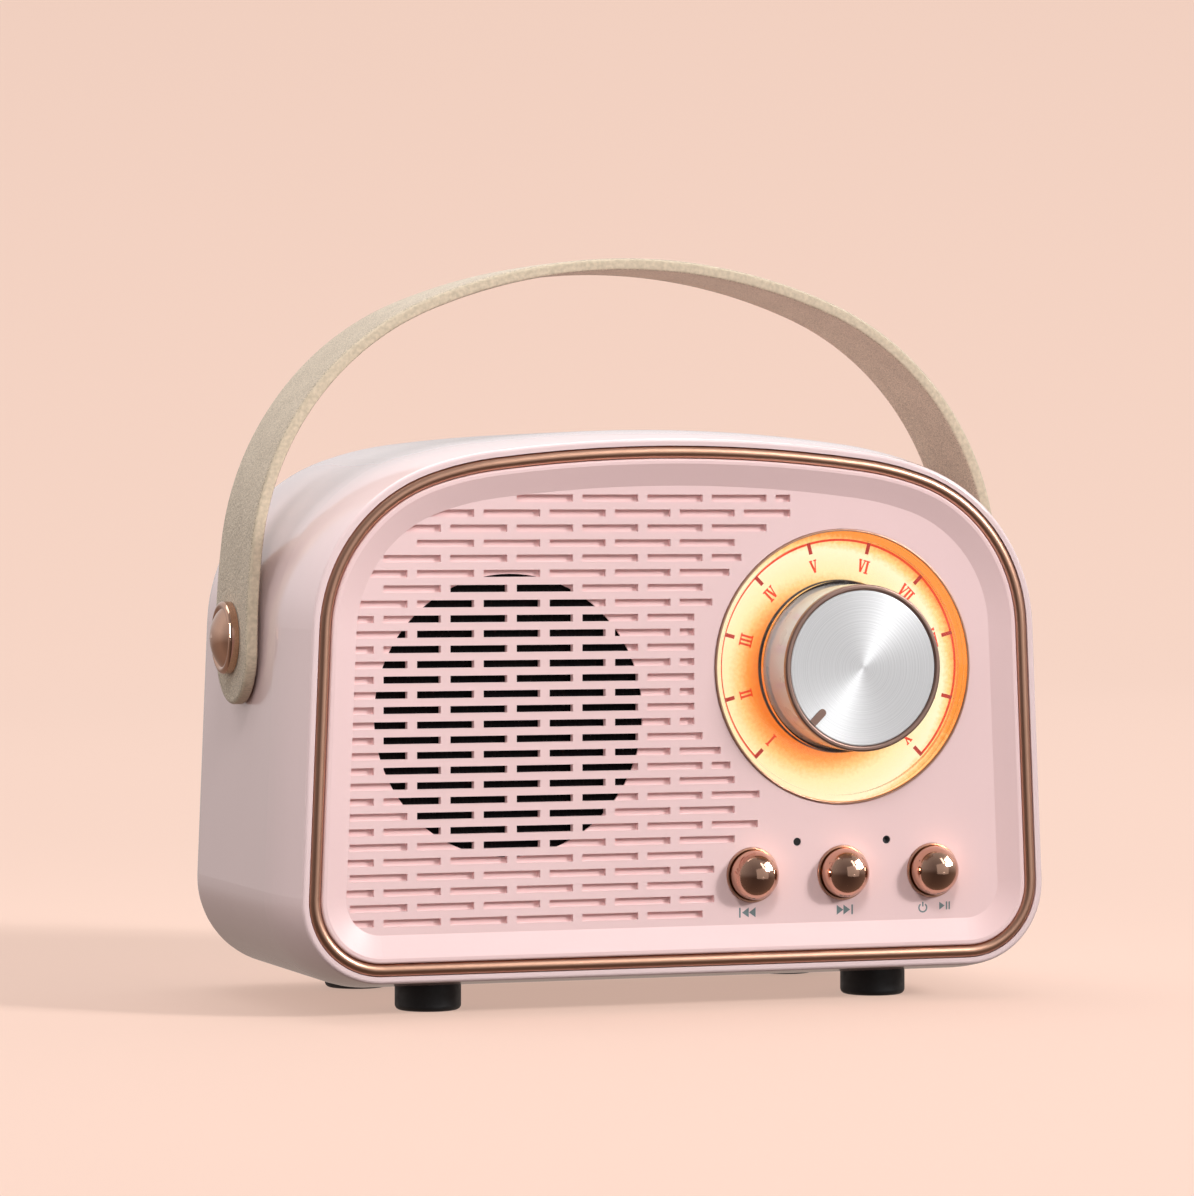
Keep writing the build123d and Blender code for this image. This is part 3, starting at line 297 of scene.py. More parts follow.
def lit_scale(name, axis):
    """Back-lit print: pale in the middle of the band and orange at its edges. It is painted dark under
    the hole in the lens, as shade round the knob's base. The band is centred down and to the left of the
    axis. That paints the knob's shade as deeper orange at the lower left of the hole, and deepens the
    orange of the rim at the upper right."""
    f = Finish(name, Roughness=0.5, Emission_Strength=1.0)
    radius = f.from_axis(tuple(axis + KNOB_SHADE_SHIFT))
    grainy = f.math("ADD", radius, f.span(f.noise(0.0005, 3.0), -0.3 * MM, 0.3 * MM))
    across = f.span(grainy, 0.0, 1.0, LIT_BAND)
    # Painted shade: dark under the lens hole, round the knob's base.
    outside_knob_shade = f.span(f.from_axis(tuple(axis)), 0.0, 1.0, LENS_HOLE_EDGE)
    for socket, share in (("Emission Color", 1.0), ("Base Color", 0.12)):
        colour = f.ramp(across, [(at, tuple(share * c for c in one)) for at, one in LIT_STOPS])
        masked = f.node("Mix", {0: outside_knob_shade, 6: KNOB_BASE_SHADE, 7: colour}, data_type="RGBA")
        f.feed(socket, masked.outputs[2])
    return f.material


def ink(name, light, dark, glow=0.0):
    """Screen-printed ink, slightly uneven. glow is for ink with lamps behind it."""
    f = Finish(name, Specular_IOR_Level=0.3, Emission_Strength=glow)
    coverage = f.noise(0.0003, 4.0)
    colour = f.blend(coverage, dark, light)
    f.feed("Base Color", colour)
    if glow:
        f.feed("Emission Color", colour)
    f.feed("Roughness", f.span(coverage, 0.5, 0.7))
    return f.material


def clear(name):
    """Clear polished plastic with faint flow marks."""
    f = Finish(name, Transmission_Weight=1.0, IOR=1.49)
    f.feed("Base Color", f.blend(f.noise(0.01, 2.0), (1.0, 0.985, 0.96), (1.0, 1.0, 0.99)))
    f.feed("Roughness", f.span(f.noise(0.004, 3.0), 0.015, 0.05))
    return f.material


def wound(name):
    """Enamelled copper wire, wound round the Y axis."""
    f = Finish(name, Metallic=1.0)
    inputs = {"Vector": f.place, "Scale": 900.0, "Distortion": 0.3}
    turns = f.node("TexWave", inputs, bands_direction="Y").outputs["Fac"]
    f.feed("Base Color", f.blend(turns, (0.22, 0.07, 0.02), (0.72, 0.33, 0.16), (0.2, 0.8)))
    f.feed("Roughness", f.span(turns, 0.45, 0.25, (0, 1)))
    f.feed("Normal", f.bump(turns, 5e-5))
    return f.material


def board(name):
    """Circuit board lacquer: copper areas and tracks show through as a lighter green."""
    f = Finish(name, Coat_Weight=0.4, Coat_Roughness=0.15)
    line = f.span(f.cells(0.004, "DISTANCE_TO_EDGE"), 0.0, 1.0, (0.04, 0.08))
    f.feed("Base Color", f.blend(line, (0.10, 0.36, 0.16), (0.025, 0.15, 0.06), (0.0, 1.0)))
    f.feed("Roughness", f.span(f.noise(0.003, 3.0), 0.3, 0.5))
    f.feed("Normal", f.bump(line, 1e-5))
    return f.material


FINISHES = {
    "pink_gloss": moulded(
        "Pink_gloss", (0.88, 0.68, 0.675), (0.86, 0.655, 0.65), (0.16, 0.24), grain=0.0016,
        relief=1.2e-6, patch=0.06, Coat_Weight=0.8, Coat_Roughness=0.06, Coat_IOR=1.5,
    ),
    "pink_satin": moulded(
        "Pink_satin", (0.91, 0.655, 0.645), (0.885, 0.632, 0.622), (0.38, 0.48), grain=0.00035,
        relief=4e-6, patch=0.05,
    ),
    "bronze_trim": plated(
        "Bronze_trim", (0.70, 0.41, 0.29), (0.64, 0.365, 0.255), (0.30, 0.37), relief=0,
    ),
    "copper": plated(
        "Copper_polished", (0.65, 0.405, 0.295), (0.58, 0.35, 0.255), (0.07, 0.12), relief=0, grain=0.002,
    ),
    "spun_aluminium": polished_side("Aluminium_polished"),
    "steel": plated("Steel_zinc", (0.60, 0.61, 0.63), (0.47, 0.47, 0.50), (0.28, 0.45)),
    "black_cloth": moulded(
        "Cloth_black", (0.006, 0.006, 0.006), (0.002, 0.002, 0.002), (0.8, 0.95), grain=0.0004,
        relief=5e-5, Specular_IOR_Level=0.15,
    ),
    "black_foam": moulded(
        "Foam_black", (0.04, 0.04, 0.04), (0.015, 0.015, 0.015), (0.85, 1.0), grain=0.0005,
        relief=1.5e-4, patch=0.002,
    ),
    "speaker_paper": moulded(
        "Paper_cone", (0.055, 0.05, 0.045), (0.025, 0.023, 0.02), (0.7, 0.9), grain=0.0004,
        relief=5e-5, patch=0.003,
    ),
    "ferrite": moulded(
        "Ferrite", (0.10, 0.10, 0.105), (0.05, 0.05, 0.052), (0.45, 0.7), grain=0.0004,
        relief=3e-5, patch=0.006,
    ),
    "coil_wire": wound("Coil_wire"),
    "clear_lens": clear("Lens_clear"),
    "dial_print": lit_scale("Scale_lit", middle("dial_scale")),
    "white_plastic": moulded("White_plastic", (0.86, 0.85, 0.82), (0.80, 0.79, 0.75), (0.35, 0.5)),
    "board_green": board("Board_green"),
    "black_plastic": moulded(
        "Black_plastic", (0.035, 0.035, 0.037), (0.02, 0.02, 0.021), (0.35, 0.55), grain=0.0003,
        relief=1e-5,
    ),
    "lamp": moulded(
        "Lamp_body", (1.0, 0.86, 0.56), (0.95, 0.76, 0.42), (0.2, 0.35),
        Emission_Color=(1.0, 0.6, 0.25, 1), Emission_Strength=0.6,
    ),
    "cell_wrap": moulded(
        "Cell_wrap", (0.09, 0.28, 0.50), (0.06, 0.21, 0.40), (0.3, 0.42), grain=0.002, relief=1e-5,
    ),
    "lead_insulation": moulded(
        "Lead_insulation", (0.50, 0.06, 0.04), (0.38, 0.035, 0.03), (0.35, 0.5), grain=0.0006,
        relief=1e-5,
    ),
    "black_rubber": moulded(
        "Rubber_black", (0.022, 0.022, 0.023), (0.012, 0.012, 0.013), (0.42, 0.6), grain=0.0003,
        relief=1.2e-5, patch=0.004,
    ),
    "beige_leather": leather(
        "Leather_beige", (0.68, 0.57, 0.44), (0.56, 0.465, 0.355), (0.41, 0.335, 0.25), 0.0006, 4.5e-5,
    ),
}
# Painted shade: a darker copy of the bronze trim for the knob's ring and pointer, for the darker
# surroundings they reflect.
KNOB_BRONZE_SHADED = plated(
    "Bronze_dark", (0.40, 0.265, 0.22), (0.35, 0.225, 0.185), (0.36, 0.44), relief=0,
)
CUT_EDGE = cut_leather("Leather_cut_edge", (0.72, 0.60, 0.45), (0.56, 0.465, 0.34))
INK_RED = ink("Ink_dark_red", (0.50, 0.02, 0.008), (0.42, 0.015, 0.006), 0.4)
INK_ORANGE = ink("Ink_orange", (0.80, 0.055, 0.006), (0.72, 0.04, 0.004), 0.5)
INK_GREY = ink("Ink_grey", (0.21, 0.27, 0.275), (0.17, 0.22, 0.225))
SPUN = spun("Aluminium_spun")
# Painted glow: an amber ring that glows by itself round the lens rim, for lamp light refracted at the
# lens edge.
AMBER_RIM_GLOW = ink("Amber_foil", (1.0, 0.34, 0.04), (0.95, 0.24, 0.02), 0.9)
SMOKED = moulded(
    "Smoked_plastic", (0.012, 0.011, 0.011), (0.006, 0.006, 0.006), (0.25, 0.4), grain=0.0005,
)

for node in NODES.values():
    for number, old in enumerate(node.data.materials):
        node.data.materials[number] = FINISHES[old.name.split(".")[0]]
for name in ("status_light_pipe", "microphone_boot", "microphone"):
    NODES[name].data.materials[0] = SMOKED
# The knob's ring and pointer get the darker, shaded copy of the bronze.
for name in ("knob_ring", "knob_pointer"):
    NODES[name].data.materials[0] = KNOB_BRONZE_SHADED


# ---------------------------------------------------------------- leather strap

STRAP_THICK = 1.7 * MM
BEND_Z = 47.6 * MM
LEG_R, LEG_TURN = 119.3 * MM, math.radians(6.6)
HIP_R, HIP_TURN = 39.7 * MM, math.radians(67.4)
OUTER_EDGE_R = 0.5 * MM
INNER_EDGE_R = OUTER_EDGE_R * 0.7
OUTER_ROWS, INNER_ROWS, BURNISHED_ROWS = 6, 5, 3
END_STEPS, SIDE_STEPS = 28, 205
HOLE_R, HOLE_STEPS = 2.0 * MM, 32
INSIDE_HOLE = HOLE_R * 0.99
MERGE = 1e-7
GRID_ACROSS, GRID_PITCH = 14, 1.0 * MM
EDGE_CLEAR, HOLE_CLEAR = 1.1 * MM, 0.45 * MM
WAVE, WAVES_ACROSS, WAVES_ALONG, WAVE_LAYER = 0.05 * MM, 90, 60, 3.0
CROWN, SINK = 0.06 * MM, 0.02 * MM
RIVET_REACH = 5 * MM


def strap_line():
    """The right half of the strap's outer face, from its lower end upwards: a function that turns a
    distance into (X, Z, angle of the outward normal), and the whole distance."""
    low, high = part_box("carrying_strap")
    out = high.x
    leg = Vector((out - LEG_R, BEND_Z))
    hip = leg + (LEG_R - HIP_R) * Vector((math.cos(LEG_TURN), math.sin(LEG_TURN)))
    arch_r = HIP_R + hip.x / math.cos(HIP_TURN)
    arch = hip - (arch_r - HIP_R) * Vector((math.cos(HIP_TURN), math.sin(HIP_TURN)))
    runs = [
        (leg, LEG_R, 0.0, LEG_TURN),
        (hip, HIP_R, LEG_TURN, HIP_TURN),
        (arch, arch_r, HIP_TURN, math.pi / 2),
    ]
    straight = BEND_Z - low.z
    total = straight + sum(radius * (end - start) for _, radius, start, end in runs)

    def at(distance):
        if distance <= straight:
            return out, low.z + distance, 0.0
        rest = distance - straight
        for centre, radius, start, end in runs:
            angle = min(start + rest / radius, end)
            rest -= radius * (end - start)
            if rest <= TINY:
                break
        return centre.x + radius * math.cos(angle), centre.y + radius * math.sin(angle), angle

    return at, total


def strap_outline(inset, half, length):
    """The flat strap's outline as (across, along), inset all round."""
    radius = half - inset
    straight = length - 2 * half
    ring = []
    for k in range(END_STEPS + 1):
        turn = math.pi * k / END_STEPS
        ring.append((-radius * math.cos(turn), half - radius * math.sin(turn)))
    for k in range(1, SIDE_STEPS):
        ring.append((radius, half + straight * k / SIDE_STEPS))
    for k in range(END_STEPS + 1):
        turn = math.pi * k / END_STEPS
        ring.append((radius * math.cos(turn), length - half + radius * math.sin(turn)))
    for k in range(1, SIDE_STEPS):
        ring.append((-radius, length - half - straight * k / SIDE_STEPS))
    return ring


def edge_profile():
    """The strap's edge as (inset, height below the outer face): a cut between two roundings."""
    profile = []
    for k in range(OUTER_ROWS + 1):
        turn = math.pi / 2 * k / OUTER_ROWS
        profile.append((OUTER_EDGE_R * (1 - math.sin(turn)), OUTER_EDGE_R * (1 - math.cos(turn))))
    profile.append((0.0, STRAP_THICK * 0.5))
    for k in range(INNER_ROWS + 1):
        turn = math.pi / 2 * k / INNER_ROWS
        inset = INNER_EDGE_R * (1 - math.cos(turn))
        profile.append((inset, STRAP_THICK - INNER_EDGE_R * (1 - math.sin(turn))))
    return profile


def face_grid(half, length, pivots):
    """Points spread over one of the strap's faces, clear of its edge and its holes."""
    points = []
    rows = int(length / GRID_PITCH)
    for i in range(1, GRID_ACROSS):
        for j in range(1, rows):
            u = -half + 2 * half * i / GRID_ACROSS
            s = length * j / rows
            past_straight = max(0.0, half - min(s, length - s))
            if math.hypot(u, past_straight) > half - EDGE_CLEAR:
                continue
            if min(math.hypot(u, s - pivot) for pivot in pivots) < HOLE_R + HOLE_CLEAR:
                continue
            points.append((u, s))
    return points


def hole_ring(pivot):
    """Points round a rivet hole."""
    turns = [2 * math.pi * k / HOLE_STEPS for k in range(HOLE_STEPS)]
    return [(HOLE_R * math.cos(turn), pivot + HOLE_R * math.sin(turn)) for turn in turns]


def make_strap():
    """A flat band with rounded ends, a hole at each rivet and a cut edge, bent to its arch."""
    low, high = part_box("carrying_strap")
    centre_y, half = (low.y + high.y) / 2, (high.y - low.y) / 2
    at, half_length = strap_line()
    length = 2 * half_length
    first_pivot = middle("strap_rivets").z - low.z
    pivots = (first_pivot, length - first_pivot)
    profile = edge_profile()
    last = len(profile) - 1
    points, faces, materials, rings, rims = [], [], [], [], []

    for inset, height in profile:
        ring = strap_outline(inset, half, length)
        rings.append(range(len(points), len(points) + len(ring)))
        points += [(u, s, height) for u, s in ring]
    count = len(rings[0])
    for level, (a, b) in enumerate(zip(rings, rings[1:])):
        cut = BURNISHED_ROWS <= level < last - BURNISHED_ROWS
        for k in range(count):
            m = (k + 1) % count
            faces.append([a[k], b[k], b[m], a[m]])
            materials.append(int(cut))

    for level in (0, last):
        loops = [[points[k][:2] for k in rings[level]]] + [hole_ring(pivot) for pivot in pivots]
        known = [point for loop in loops for point in loop]
        edges = []
        for loop in loops:
            start = len(edges)
            edges += [(start + k, start + (k + 1) % len(loop)) for k in range(len(loop))]
        spread = [Vector(point) for point in known + face_grid(half, length, pivots)]
        verts, _, triangles, sources, _, _ = delaunay_2d_cdt(spread, edges, [], 0, MERGE)
        rim, index = {}, []
        for vert, source in zip(verts, sources):
            origin = min(source, default=len(known))
            if origin < count:
                index.append(rings[level][origin])
                continue
            if origin < len(known):
                rim[origin - count] = len(points)
            index.append(len(points))
            points.append((vert.x, vert.y, profile[level][1]))
        rims.append(rim)
        for triangle in triangles:
            mid = sum((verts[k] for k in triangle), Vector((0, 0))) / 3
            if min((mid - Vector((0, pivot))).length for pivot in pivots) < INSIDE_HOLE:
                continue
            faces.append([index[k] for k in (triangle if level == 0 else reversed(triangle))])
            materials.append(0)

    outer, inner = rims
    for start in (0, HOLE_STEPS):
        for k in range(HOLE_STEPS):
            here, following = start + k, start + (k + 1) % HOLE_STEPS
            faces.append([outer[here], outer[following], inner[following], inner[here]])
            materials.append(1)

    def hand_cut(u, s, h):
        """Height with the slow waves and slight crown of a hand-cut band, but none at the rivets."""
        if h >= STRAP_THICK / 2:
            return h
        wave = WAVE * noise.noise(Vector((u * WAVES_ACROSS, s * WAVES_ALONG, WAVE_LAYER)))
        near = min(abs(s - pivot) for pivot in pivots)
        free = 1 - math.exp(-((near / RIVET_REACH) ** 2))
        return h + SINK - (wave - CROWN * (u / half) ** 2) * free

    def bent(u, s, h):
        """Flat strap to its bent shape: u across, s along, h below the outer face."""
        mirrored = s > half_length
        x, z, angle = at(length - s if mirrored else s)
        x, z = x - h * math.cos(angle), z - h * math.sin(angle)
        return (-x if mirrored else x, centre_y + u, z)

    shaped = [bent(u, s, hand_cut(u, s, h)) for u, s, h in points]
    obj = piece("leather_strap", shaped, faces, "strap", [FINISHES["beige_leather"], CUT_EDGE])
    obj.data.polygons.foreach_set("material_index", materials)
    obj.data.update()
    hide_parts("carrying_strap")


make_strap()


# ---------------------------------------------------------------- knob face

GROOVE_PITCH, GROOVE_DEPTH, GROOVE_ROWS = 0.42 * MM, 0.007 * MM, 6
DIMPLE_R, DIMPLE_DEPTH = 0.25 * MM, 0.03 * MM
PLAIN_RIM, RIM_SINK, CHAMFER = 0.12 * MM, 0.01 * MM, 0.05 * MM
DIAL_STEPS = 180


def make_knob_face():
    """Turned disc with shallow grooves, a chamfer and a tiny centre dimple."""
    low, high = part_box("knob_face")
    centre = Vector(((low.x + high.x) / 2, low.y, (low.z + high.z) / 2))
    radius = (high.x - low.x) / 2
    row = GROOVE_PITCH / GROOVE_ROWS
    profile = [(0.0, low.y + DIMPLE_DEPTH)]
    for k in range(1, int((radius - PLAIN_RIM) / row) + 1):
        r = k * row
        groove = GROOVE_DEPTH * (1 - math.cos(2 * math.pi * r / GROOVE_PITCH)) / 2
        dimple = DIMPLE_DEPTH * math.exp(-((r / DIMPLE_R) ** 2))
        profile.append((r, low.y + groove + dimple))
    profile += [
        (radius - CHAMFER, low.y + RIM_SINK),
        (radius, low.y + RIM_SINK + CHAMFER),
        (radius, high.y),
        (0.0, high.y),
    ]
    obj = turned("knob_spun_face", profile, centre, DIAL_STEPS, "knob", SPUN)
    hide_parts("knob_face")


make_knob_face()


# ---------------------------------------------------------------- speaker cloth

THREAD_PITCH, THREAD_STEPS = 0.55 * MM, 5
WEAVE_RELIEF, WEAVE_SINK = 0.11 * MM, 0.12 * MM
THREAD_GAP, THREAD_LOW, THREAD_DIP = 0.12, 0.35, 0.55


def thread_height(i, j):
    """Height of the weave at a grid point, as a share: every second crossing has the other thread on
    top, and a thread dips where it goes under."""

    def ridge(part):
        return math.sqrt(max(0.0, 1 - (2 * part - 1) ** 2))

    across, along = (i % THREAD_STEPS) / THREAD_STEPS, (j % THREAD_STEPS) / THREAD_STEPS
    if across == 0 or along == 0:
        return THREAD_GAP
    if (i // THREAD_STEPS + j // THREAD_STEPS) % 2 == 0:
        across, along = along, across
    dip = THREAD_DIP + (1 - THREAD_DIP) * ridge(along)
    return THREAD_LOW + (1 - THREAD_LOW) * ridge(across) * dip


def make_cloth():
    """Plain weave, stretched flat behind the slots: each thread is a real ridge."""
    low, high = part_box("speaker_cloth")
    centre = (low + high) / 2
    radius = (high.x - low.x) / 2
    step = THREAD_PITCH / THREAD_STEPS
    half = int(radius / step) + 1
    index, points = {}, []
    for i in range(-half, half + 1):
        for j in range(-half, half + 1):
            x, z = i * step, j * step
            far = math.hypot(x, z)
            if far > radius + step * 0.5:
                continue
            if far > radius:
                x, z = x * radius / far, z * radius / far
            y = high.y - WEAVE_SINK - WEAVE_RELIEF * thread_height(i, j)
            index[i, j] = len(points)
            points.append((centre.x + x, y, centre.z + z))
    faces = []
    for i, j in index:
        corners = [index.get(at) for at in ((i, j), (i + 1, j), (i + 1, j + 1), (i, j + 1))]
        if None not in corners:
            faces.append(corners)
    used = sorted({k for face in faces for k in face})
    new = {k: number for number, k in enumerate(used)}
    points = [points[k] for k in used]
    faces = [[new[k] for k in face] for face in faces]
    obj = piece("speaker_weave", points, faces, "housing", [FINISHES["black_cloth"]])
    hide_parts("speaker_cloth")


make_cloth()


# ---------------------------------------------------------------- dial print

DIAL = middle("dial_scale")
SCALE_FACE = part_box("dial_scale")[0].y
INK_THICK = 0.03 * MM
NUMERALS = ["I", "II", "III", "IV", "V", "VI", "VII", "VIII", "IX", "X"]
FIRST_MARK, LAST_MARK, ARC_STEP = 225.0, -45.0, 2
ARC_R, ARC_W = 16.8 * MM, 0.3 * MM
TICK_OUT, TICK_IN, TICK_W, TICK_LIFT = 16.95 * MM, 15.4 * MM, 0.5 * MM, 0.004 * MM
NUMERAL_MID, NUMERAL_H = 13.7 * MM, 1.6 * MM
LETTER_W = {"I": 0.34 * NUMERAL_H, "V": 0.62 * NUMERAL_H, "X": 0.62 * NUMERAL_H}
LETTER_SPREAD = 0.36
STROKE, HAIR, SERIF = 0.3 * MM, 0.17 * MM, 1.5
# Gap, thickness and sink of the ring that carries the painted glow round the lens rim.
GLOW_RING_GAP, GLOW_RING_THICK, GLOW_RING_SINK = 0.01 * MM, 0.03 * MM, 0.03 * MM


def on_dial(radius, angle, side=0.0):
    """Point on the dial: radius along a mark, side to its right when read from the centre outwards."""
    return (
        DIAL.x + radius * math.cos(angle) + side * math.sin(angle),
        DIAL.z + radius * math.sin(angle) - side * math.cos(angle),
    )


def arc_band(radius, width, start, end, step, centre):
    """Quads along an arc, in degrees."""
    inner, outer = radius - width / 2, radius + width / 2
    count = max(1, round(abs(end - start) / step))
    quads = []
    for k in range(count):
        a = math.radians(start + (end - start) * k / count)
        b = math.radians(start + (end - start) * (k + 1) / count)
        corners = ((inner, a), (outer, a), (outer, b), (inner, b))
        quads.append([(centre[0] + r * math.cos(t), centre[1] + r * math.sin(t)) for r, t in corners])
    return quads


def bar(x0, y0, x1, y1, width):
    """A stroke from one point to another, as a quad."""
    along = Vector((x1 - x0, y1 - y0)).normalized() * width / 2
    dx, dy = -along.y, along.x
    return [(x0 + dx, y0 + dy), (x1 + dx, y1 + dy), (x1 - dx, y1 - dy), (x0 - dx, y0 - dy)]


def numeral(text):
    """Strokes of a Roman numeral, centred, in a box NUMERAL_H high, with small serifs."""
    left = -sum(LETTER_W[c] for c in text) / 2
    top, strokes = NUMERAL_H / 2, []
    for c in text:
        mid, w = left + LETTER_W[c] / 2, LETTER_W[c] * LETTER_SPREAD
        if c == "I":
            strokes.append(bar(mid, -top, mid, top, STROKE))
            strokes.append(bar(mid - STROKE, top, mid + STROKE, top, HAIR))
            strokes.append(bar(mid - STROKE, -top, mid + STROKE, -top, HAIR))
        elif c == "V":
            strokes.append(bar(mid - w, top, mid, -top, STROKE))
            strokes.append(bar(mid + w, top, mid, -top, HAIR))
        else:
            strokes.append(bar(mid - w, top, mid + w, -top, STROKE))
            strokes.append(bar(mid + w, top, mid - w, -top, HAIR))
        if c != "I":
            strokes.append(bar(mid - w - HAIR, top, mid - w + HAIR * SERIF, top, HAIR))
            strokes.append(bar(mid + w - HAIR * SERIF, top, mid + w + HAIR, top, HAIR))
        left += LETTER_W[c]
    return strokes


def make_dial_print():
    """The arc, and a tick and a Roman numeral at each of its even marks."""
    front = SCALE_FACE - INK_THICK
    arc = arc_band(ARC_R, ARC_W, FIRST_MARK, LAST_MARK, ARC_STEP, (DIAL.x, DIAL.z))
    plates("dial_arc", arc, front, INK_THICK, "housing", INK_ORANGE)
    ticks, signs = [], []
    side = TICK_W / 2
    corners = ((TICK_IN, -side), (TICK_OUT, -side), (TICK_OUT, side), (TICK_IN, side))
    for number, text in enumerate(NUMERALS):
        share = number / (len(NUMERALS) - 1)
        angle = math.radians(FIRST_MARK + (LAST_MARK - FIRST_MARK) * share)
        ticks.append([on_dial(r, angle, offset) for r, offset in corners])
        for stroke in numeral(text):
            signs.append([on_dial(NUMERAL_MID + y, angle, x) for x, y in stroke])
    ticks = plates("dial_ticks", ticks, front - TICK_LIFT, INK_THICK + TICK_LIFT, "housing", INK_RED)
    plates("dial_numerals", signs, front, INK_THICK, "housing", INK_ORANGE)


def make_rim_glow_ring():
    """Thin amber ring between the lens and its bezel that glows by itself: a painted glow for the lamp
    light refracted at the lens edge.
    """
    low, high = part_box("dial_lens")
    inner = (high.x - low.x) / 2 + GLOW_RING_GAP
    outer = inner + GLOW_RING_THICK
    front, back = low.y + GLOW_RING_SINK, high.y
    centre = Vector((DIAL.x, front, DIAL.z))
    profile = [(inner, front), (outer, front), (outer, back), (inner, back), (inner, front)]
    turned("dial_amber_ring", profile, centre, DIAL_STEPS, "housing", AMBER_RIM_GLOW)


make_dial_print()
make_rim_glow_ring()


# ---------------------------------------------------------------- symbols under the buttons

COLLAR_STAND = 0.35 * MM
PANEL_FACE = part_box("button_collars")[0].y + COLLAR_STAND
SYMBOL_DROP, SYMBOL_H, SYMBOL_W = 4.95 * MM, 1.3 * MM, 0.22 * MM
SYMBOL_STAND, SYMBOL_THICK = 0.015 * MM, 0.03 * MM
ARROW_SHAPE, ARROW_STEP, SKIP_BAR = 0.72, 0.74, 1.25 * MM
SKIP_BACK_X, SKIP_ON_X, POWER_X, PLAY_X = -0.5 * MM, 0.1 * MM, -1.35 * MM, 1.75 * MM
POWER_R, POWER_W, POWER_SINK = 0.56 * MM, 0.2 * MM, 0.05 * MM
POWER_START, POWER_END, POWER_STEP = 125, 415, 14
POWER_BAR_H, POWER_BAR_LIFT = 0.62 * MM, 0.42 * MM
PLAY_H, PLAY_LIFT, PLAY_ARROW_X = 1.05 * MM, 0.15 * MM, -0.7 * MM
PAUSE_X = (0.35 * MM, 0.75 * MM)


def arrow(x, z, way, height=SYMBOL_H):
    """A triangle that points left (-1) or right (1) from x."""
    return [(x, z - height / 2), (x, z + height / 2), (x + way * height * ARROW_SHAPE, z)]


def upright(x, z, width=SYMBOL_W, height=SYMBOL_H):
    """A bar that stands centred on a point."""
    left, right = x - width / 2, x + width / 2
    low, top = z - height / 2, z + height / 2
    return [(left, low), (right, low), (right, top), (left, top)]


def make_symbols():
    """Skip back, skip forwards, and power beside play/pause."""
    z = middle("previous_button").z - SYMBOL_DROP
    step = SYMBOL_H * ARROW_STEP
    x = middle("previous_button").x + SKIP_BACK_X
    previous = [upright(x - SKIP_BAR, z), arrow(x, z, -1), arrow(x + step, z, -1)]
    x = middle("next_button").x + SKIP_ON_X
    following = [upright(x + SKIP_BAR, z), arrow(x, z, 1), arrow(x - step, z, 1)]
    x = middle("power_button").x + POWER_X
    power = arc_band(POWER_R, POWER_W, POWER_START, POWER_END, POWER_STEP, (x, z - POWER_SINK))
    power.append(upright(x, z + POWER_BAR_LIFT, POWER_W, POWER_BAR_H))
    x = middle("power_button").x + PLAY_X
    power.append(arrow(x + PLAY_ARROW_X, z + PLAY_LIFT, 1, PLAY_H))
    power += [upright(x + offset, z + PLAY_LIFT, POWER_W, PLAY_H) for offset in PAUSE_X]
    symbols = (("symbol_previous", previous), ("symbol_next", following), ("symbol_power", power))
    for name, shapes in symbols:
        plates(name, shapes, PANEL_FACE - SYMBOL_STAND, SYMBOL_THICK, "housing", INK_GREY)


CUP_R, CUP_BORE, CUP_ROUND = 0.52, 0.26, 0.06
CUP_FLOOR, CUP_BACK, CUP_STEPS = 0.42, 0.6, 32


def make_grommet():
    """Rubber cup that lines the microphone's hole. Its outline is (radius, depth) in mm."""
    cup = [
        (0.0, CUP_FLOOR),
        (CUP_BORE, CUP_FLOOR),
        (CUP_BORE + 0.04, CUP_ROUND + 0.10),
        (CUP_BORE + 0.10, CUP_ROUND + 0.02),
        (CUP_R - CUP_ROUND, CUP_ROUND),
        (CUP_R, CUP_ROUND * 2),
        (CUP_R, CUP_BACK),
        (0.0, CUP_BACK),
    ]
    at = middle("microphone")
    centre = Vector((at.x, PANEL_FACE, at.z))
    profile = [(radius * MM, PANEL_FACE + depth * MM) for radius, depth in cup]
    rubber = FINISHES["black_rubber"]
    turned("microphone_grommet", profile, centre, CUP_STEPS, "housing", rubber)


make_symbols()
make_grommet()


# ---------------------------------------------------------------- floor, light, camera

FLOOR_HALF, FLOOR_FRONT, FLOOR_BACK = 3.0, -2.6, 1.0
SWEEP_R, SWEEP_STEPS, SWEEP_TOP = 0.6, 18, 2.4


def make_floor():
    """Pale sweep: floor that curves up into a backdrop."""
    f = Finish("Floor_pale", Roughness=0.9, Specular_IOR_Level=0.1, Emission_Strength=0.525)
    drift = f.noise(0.8, 2.0)
    f.feed("Base Color", f.blend(drift, (0.475, 0.343, 0.287), (0.485, 0.35, 0.293)))
    f.feed("Emission Color", f.blend(drift, (0.945, 0.683, 0.567), (0.958, 0.693, 0.577)))
    profile = [(FLOOR_FRONT, 0.0)]
    for k in range(SWEEP_STEPS + 1):
        turn = math.radians(90 * k / SWEEP_STEPS)
        profile.append((FLOOR_BACK + SWEEP_R * math.sin(turn), SWEEP_R - SWEEP_R * math.cos(turn)))
    profile.append((FLOOR_BACK + SWEEP_R, SWEEP_TOP))
    points, faces = [], []
    for y, z in profile:
        points += [(-FLOOR_HALF, y, z), (FLOOR_HALF, y, z)]
    for k in range(len(profile) - 1):
        faces.append([2 * k, 2 * k + 1, 2 * k + 3, 2 * k + 2])
    floor = piece("floor_sweep", points, faces, None, [f.material])
    floor.visible_glossy = False
    floor.visible_diffuse = False
    return floor


AIM = (0, 0, 0.05)
WORLD_STRENGTH = 1.3

